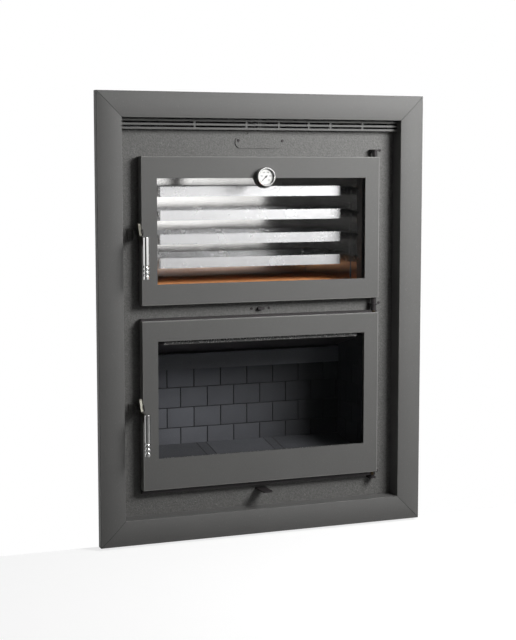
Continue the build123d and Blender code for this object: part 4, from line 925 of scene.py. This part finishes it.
class OVEN_OT_dial(Step):
    """Print the thermometer's dial with plain numbers, and blacken its needle"""

    bl_idname = "oven.dial"
    bl_label = "Dial"

    def build(self, finish, detail, stage):
        dress(("gauge_dial",), enamel("dial enamel", finish.dial))
        black = enamel("dial print", finish.print)
        dress(("gauge_needle",), black)
        low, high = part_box("gauge_dial")
        centre = (low + high) / 2
        radius = (high.x - low.x) / 2
        front, back = low.y - 0.0001, low.y + 0.00002
        mark = np.arange(SCALE_MARKS + 1)
        angle = SCALE_START - SCALE_SWEEP * mark / SCALE_MARKS
        ray = np.stack((np.cos(angle), np.sin(angle)), axis=-1)
        long_mark = mark % MARKS_PER_NUMBER == 0
        middle = np.array((centre.x, centre.z))
        inner = radius * np.where(long_mark, 0.76, 0.84)
        widths = np.where(long_mark, 0.0006, 0.00028)
        starts, ends = middle + ray * inner[:, None], middle + ray * radius * 0.9
        marks = strokes(starts, ends, widths, front, back)
        rim = flat_ring(centre, radius * 0.9, radius * 0.925, front, back, 96)
        piece("dial_marks", *joined(marks, rim), black, "oven_door", "needle_black")
        self.numbers(detail, centre, radius, front, black)

    @staticmethod
    def numbers(detail, centre, radius, front, finish):
        """Numbers set upright, evenly along the scale, made a mesh and moved to the dial."""
        mesh = bpy.data.meshes.new("dial_numbers")
        work = bmesh.new()
        for number in range(0, detail.dial_top + 1, detail.dial_step):
            curve = bpy.data.curves.new(f"number_{number}", "FONT")
            curve.body = str(number)
            curve.align_x, curve.align_y = "CENTER", "CENTER"
            curve.size = detail.number_height
            curve.extrude = 0.00005
            written = bpy.data.objects.new(curve.name, curve)
            bpy.context.scene.collection.objects.link(written)
            bpy.context.view_layer.update()
            finished = written.evaluated_get(bpy.context.evaluated_depsgraph_get())
            flat = bpy.data.meshes.new_from_object(finished)
            angle = SCALE_START - SCALE_SWEEP * number / detail.dial_top
            reach = radius * 0.56
            spot = (centre.x + reach * math.cos(angle), front, centre.z + reach * math.sin(angle))
            flat.transform(Matrix.Translation(spot) @ Matrix.Rotation(math.pi / 2, 4, "X"))
            work.from_mesh(flat)
            bpy.data.objects.remove(written)
            bpy.data.meshes.remove(flat)
            bpy.data.curves.remove(curve)
        work.to_mesh(mesh)
        work.free()
        made = bpy.data.objects.new("dial_numbers", mesh)
        bpy.context.scene.collection.objects.link(made)
        mesh.materials.append(finish)
        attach(made, "oven_door")


class OVEN_OT_stage(Step):
    """Set the floor, the wall behind the trim, the lamps, the white room and the camera"""

    bl_idname = "oven.stage"
    bl_label = "Stage"

    def build(self, finish, detail, stage):
        self.floor(stage.room)
        self.wall(stage.room)
        self.room(stage.ambient)
        small, wide = 0.8, 1.6
        self.lamp("key lamp", stage.key_power, small, (1.0, -1.55, 1.45), FRONT_CENTRE)
        self.lamp("front lamp", stage.front_power, wide, (0.5, -3.4, 1.3), FRONT_CENTRE)
        self.lamp("rear lamp", stage.rear_power, wide, (1.6, 2.6, 2.4), CASING_CENTRE)
        self.lamp("rear fill", stage.rear_power, wide, (-2.2, 2.0, 1.2), CASING_CENTRE)
        self.camera(stage.focal)
        bpy.context.scene.view_settings.view_transform = "Standard"

    @staticmethod
    def plain(name, points, faces, finish):
        """Flat mesh that belongs to the stage."""
        mesh = bpy.data.meshes.new(name)
        mesh.from_pydata(points, [], faces)
        mesh.materials.append(finish)
        made = bpy.data.objects.new(name, mesh)
        bpy.context.scene.collection.objects.link(made)

    def floor(self, half):
        """Pale matt floor that keeps the shadow. What the camera sees of it is lifted to white."""
        made, tree = material("floor")
        light = tree.node("ShaderNodeLightPath")
        x, y, _ = tree.axes()
        far = x.size().rise(1.0, 2.2).most(y.size().rise(1.0, 2.2))
        lift = tree.blend((0, 0, 0, 1), (1, 1, 1, 1), light * (0.78 + far * 0.22))
        grain = tree.noise(0.05)
        base = tree.blend((0.28, 0.28, 0.28, 1), (0.3, 0.3, 0.3, 1), grain)
        tree.surface(base, 0.9, Emission_Color=lift, Emission_Strength=1.0, Specular_IOR_Level=0.0)
        corners = [(-half, -half, 0), (half, -half, 0), (half, half, 0), (-half, half, 0)]
        self.plain("floor", corners, [(0, 1, 2, 3)], made)

    def wall(self, half):
        """White wall that the trim's rear edge rests on, open where the oven goes in.

        Its back lets everything through, so that the oven shows from behind.
        """
        made, tree = material("wall")
        light = tree.node("ShaderNodeLightPath")
        seen = light.most(light.other("Is Glossy Ray")).most(light.other("Is Transmission Ray"))
        matt = tree.node("ShaderNodeBsdfDiffuse", inputs={"Color": (0.25, 0.25, 0.25, 1)})
        white = tree.node("ShaderNodeEmission", inputs={"Strength": 1.0})
        front = tree.node("ShaderNodeMixShader", inputs={0: seen, 1: matt, 2: white})
        clear = tree.node("ShaderNodeBsdfTransparent")
        behind = tree.node("ShaderNodeNewGeometry", output="Backfacing")
        both = tree.node("ShaderNodeMixShader", inputs={0: behind, 1: front, 2: clear})
        tree.node("ShaderNodeOutputMaterial", inputs={"Surface": both})
        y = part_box("trim_left")[1].y + WALL_GAP
        hole, low, high = WALL_HOLE_HALF, WALL_HOLE_LOW, WALL_HOLE_HIGH
        outer = [(-half, y, 0.0), (half, y, 0.0), (half, y, half), (-half, y, half)]
        inner = [(-hole, y, low), (hole, y, low), (hole, y, high), (-hole, y, high)]
        faces = [(i, (i + 1) % 4, 4 + (i + 1) % 4, 4 + i) for i in range(4)]
        self.plain("wall", outer + inner, faces, made)

    @staticmethod
    def room(ambient):
        """White for what the camera, glass and metal see, but dark in front and left for metal."""
        world = bpy.data.worlds.new("white room")
        bpy.context.scene.world = world
        tree = Tree(world)
        light = tree.node("ShaderNodeLightPath")
        x, y, _ = tree.axes(tree.node("ShaderNodeTexCoord"))
        sides = x.rise(0.02, 0.22).most(x.rise(-0.72, -0.9))
        studio = tree.blend((0.04, 0.04, 0.04, 1), (1, 1, 1, 1), sides.most(y.rise(-0.1, 0.4)))
        matt = (ambient, ambient, ambient, 1)
        colour = tree.blend(matt, studio, light.other("Is Glossy Ray"))
        direct = light.most(light.other("Is Transmission Ray"))
        colour = tree.blend(colour, (1, 1, 1, 1), direct)
        back = tree.node("ShaderNodeBackground", inputs={"Color": colour, "Strength": 1.0})
        tree.node("ShaderNodeOutputWorld", inputs={"Surface": back})

    @staticmethod
    def lamp(name, power, size, place, target):
        """Square lamp of a side in metres, turned towards its target and hidden from the camera."""
        light = bpy.data.lights.new(name, "AREA")
        light.energy = power
        light.size = size
        made = bpy.data.objects.new(name, light)
        bpy.context.scene.collection.objects.link(made)
        made.location = place
        turn = (Vector(target) - Vector(place)).to_track_quat("-Z", "Y")
        made.rotation_euler = turn.to_euler()
        made.visible_camera = False

    @staticmethod
    def camera(focal):
        """Camera as solved from the photograph's trim corners."""
        view = bpy.data.cameras.new("camera")
        view.lens = focal
        view.sensor_width = SENSOR_WIDTH
        made = bpy.data.objects.new("camera", view)
        bpy.context.scene.collection.objects.link(made)
        made.location = CAMERA_PLACE
        made.rotation_euler = CAMERA_TURN
        bpy.context.scene.camera = made


class OVEN_PT_looks(bpy.types.Panel):
    """Steps and settings of the oven's looks"""

    bl_idname = "OVEN_PT_looks"
    bl_label = "Oven looks"
    bl_space_type = "VIEW_3D"
    bl_region_type = "UI"
    bl_category = "Oven"

    def draw(self, context):
        for step in STEPS:
            self.layout.operator(step.bl_idname, text=step.bl_label)
        for group in (context.scene.oven_finish, context.scene.oven_detail, context.scene.oven_stage):
            box = self.layout.box()
            for name in group.__annotations__:
                box.prop(group, name)


STEPS = (
    OVEN_OT_steelwork,
    OVEN_OT_ironwork,
    OVEN_OT_brightwork,
    OVEN_OT_trays,
    OVEN_OT_firebox,
    OVEN_OT_glazing,
    OVEN_OT_ropes,
    OVEN_OT_grips,
    OVEN_OT_screws,
    OVEN_OT_dial,
    OVEN_OT_stage,
)
GROUPS = {"oven_finish": OvenFinish, "oven_detail": OvenDetail, "oven_stage": OvenStage}


def register():
    for group in GROUPS.values():
        bpy.utils.register_class(group)
    for name, group in GROUPS.items():
        setattr(bpy.types.Scene, name, PointerProperty(type=group))
    for step in (*STEPS, OVEN_PT_looks):
        bpy.utils.register_class(step)


def unregister():
    for step in (OVEN_PT_looks, *reversed(STEPS)):
        bpy.utils.unregister_class(step)
    for name, group in GROUPS.items():
        delattr(bpy.types.Scene, name)
        bpy.utils.unregister_class(group)


def main():
    """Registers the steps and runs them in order."""
    register()
    for step in STEPS:
        group, name = step.bl_idname.split(".")
        getattr(getattr(bpy.ops, group), name)()


if __name__ == "__main__":
    main()
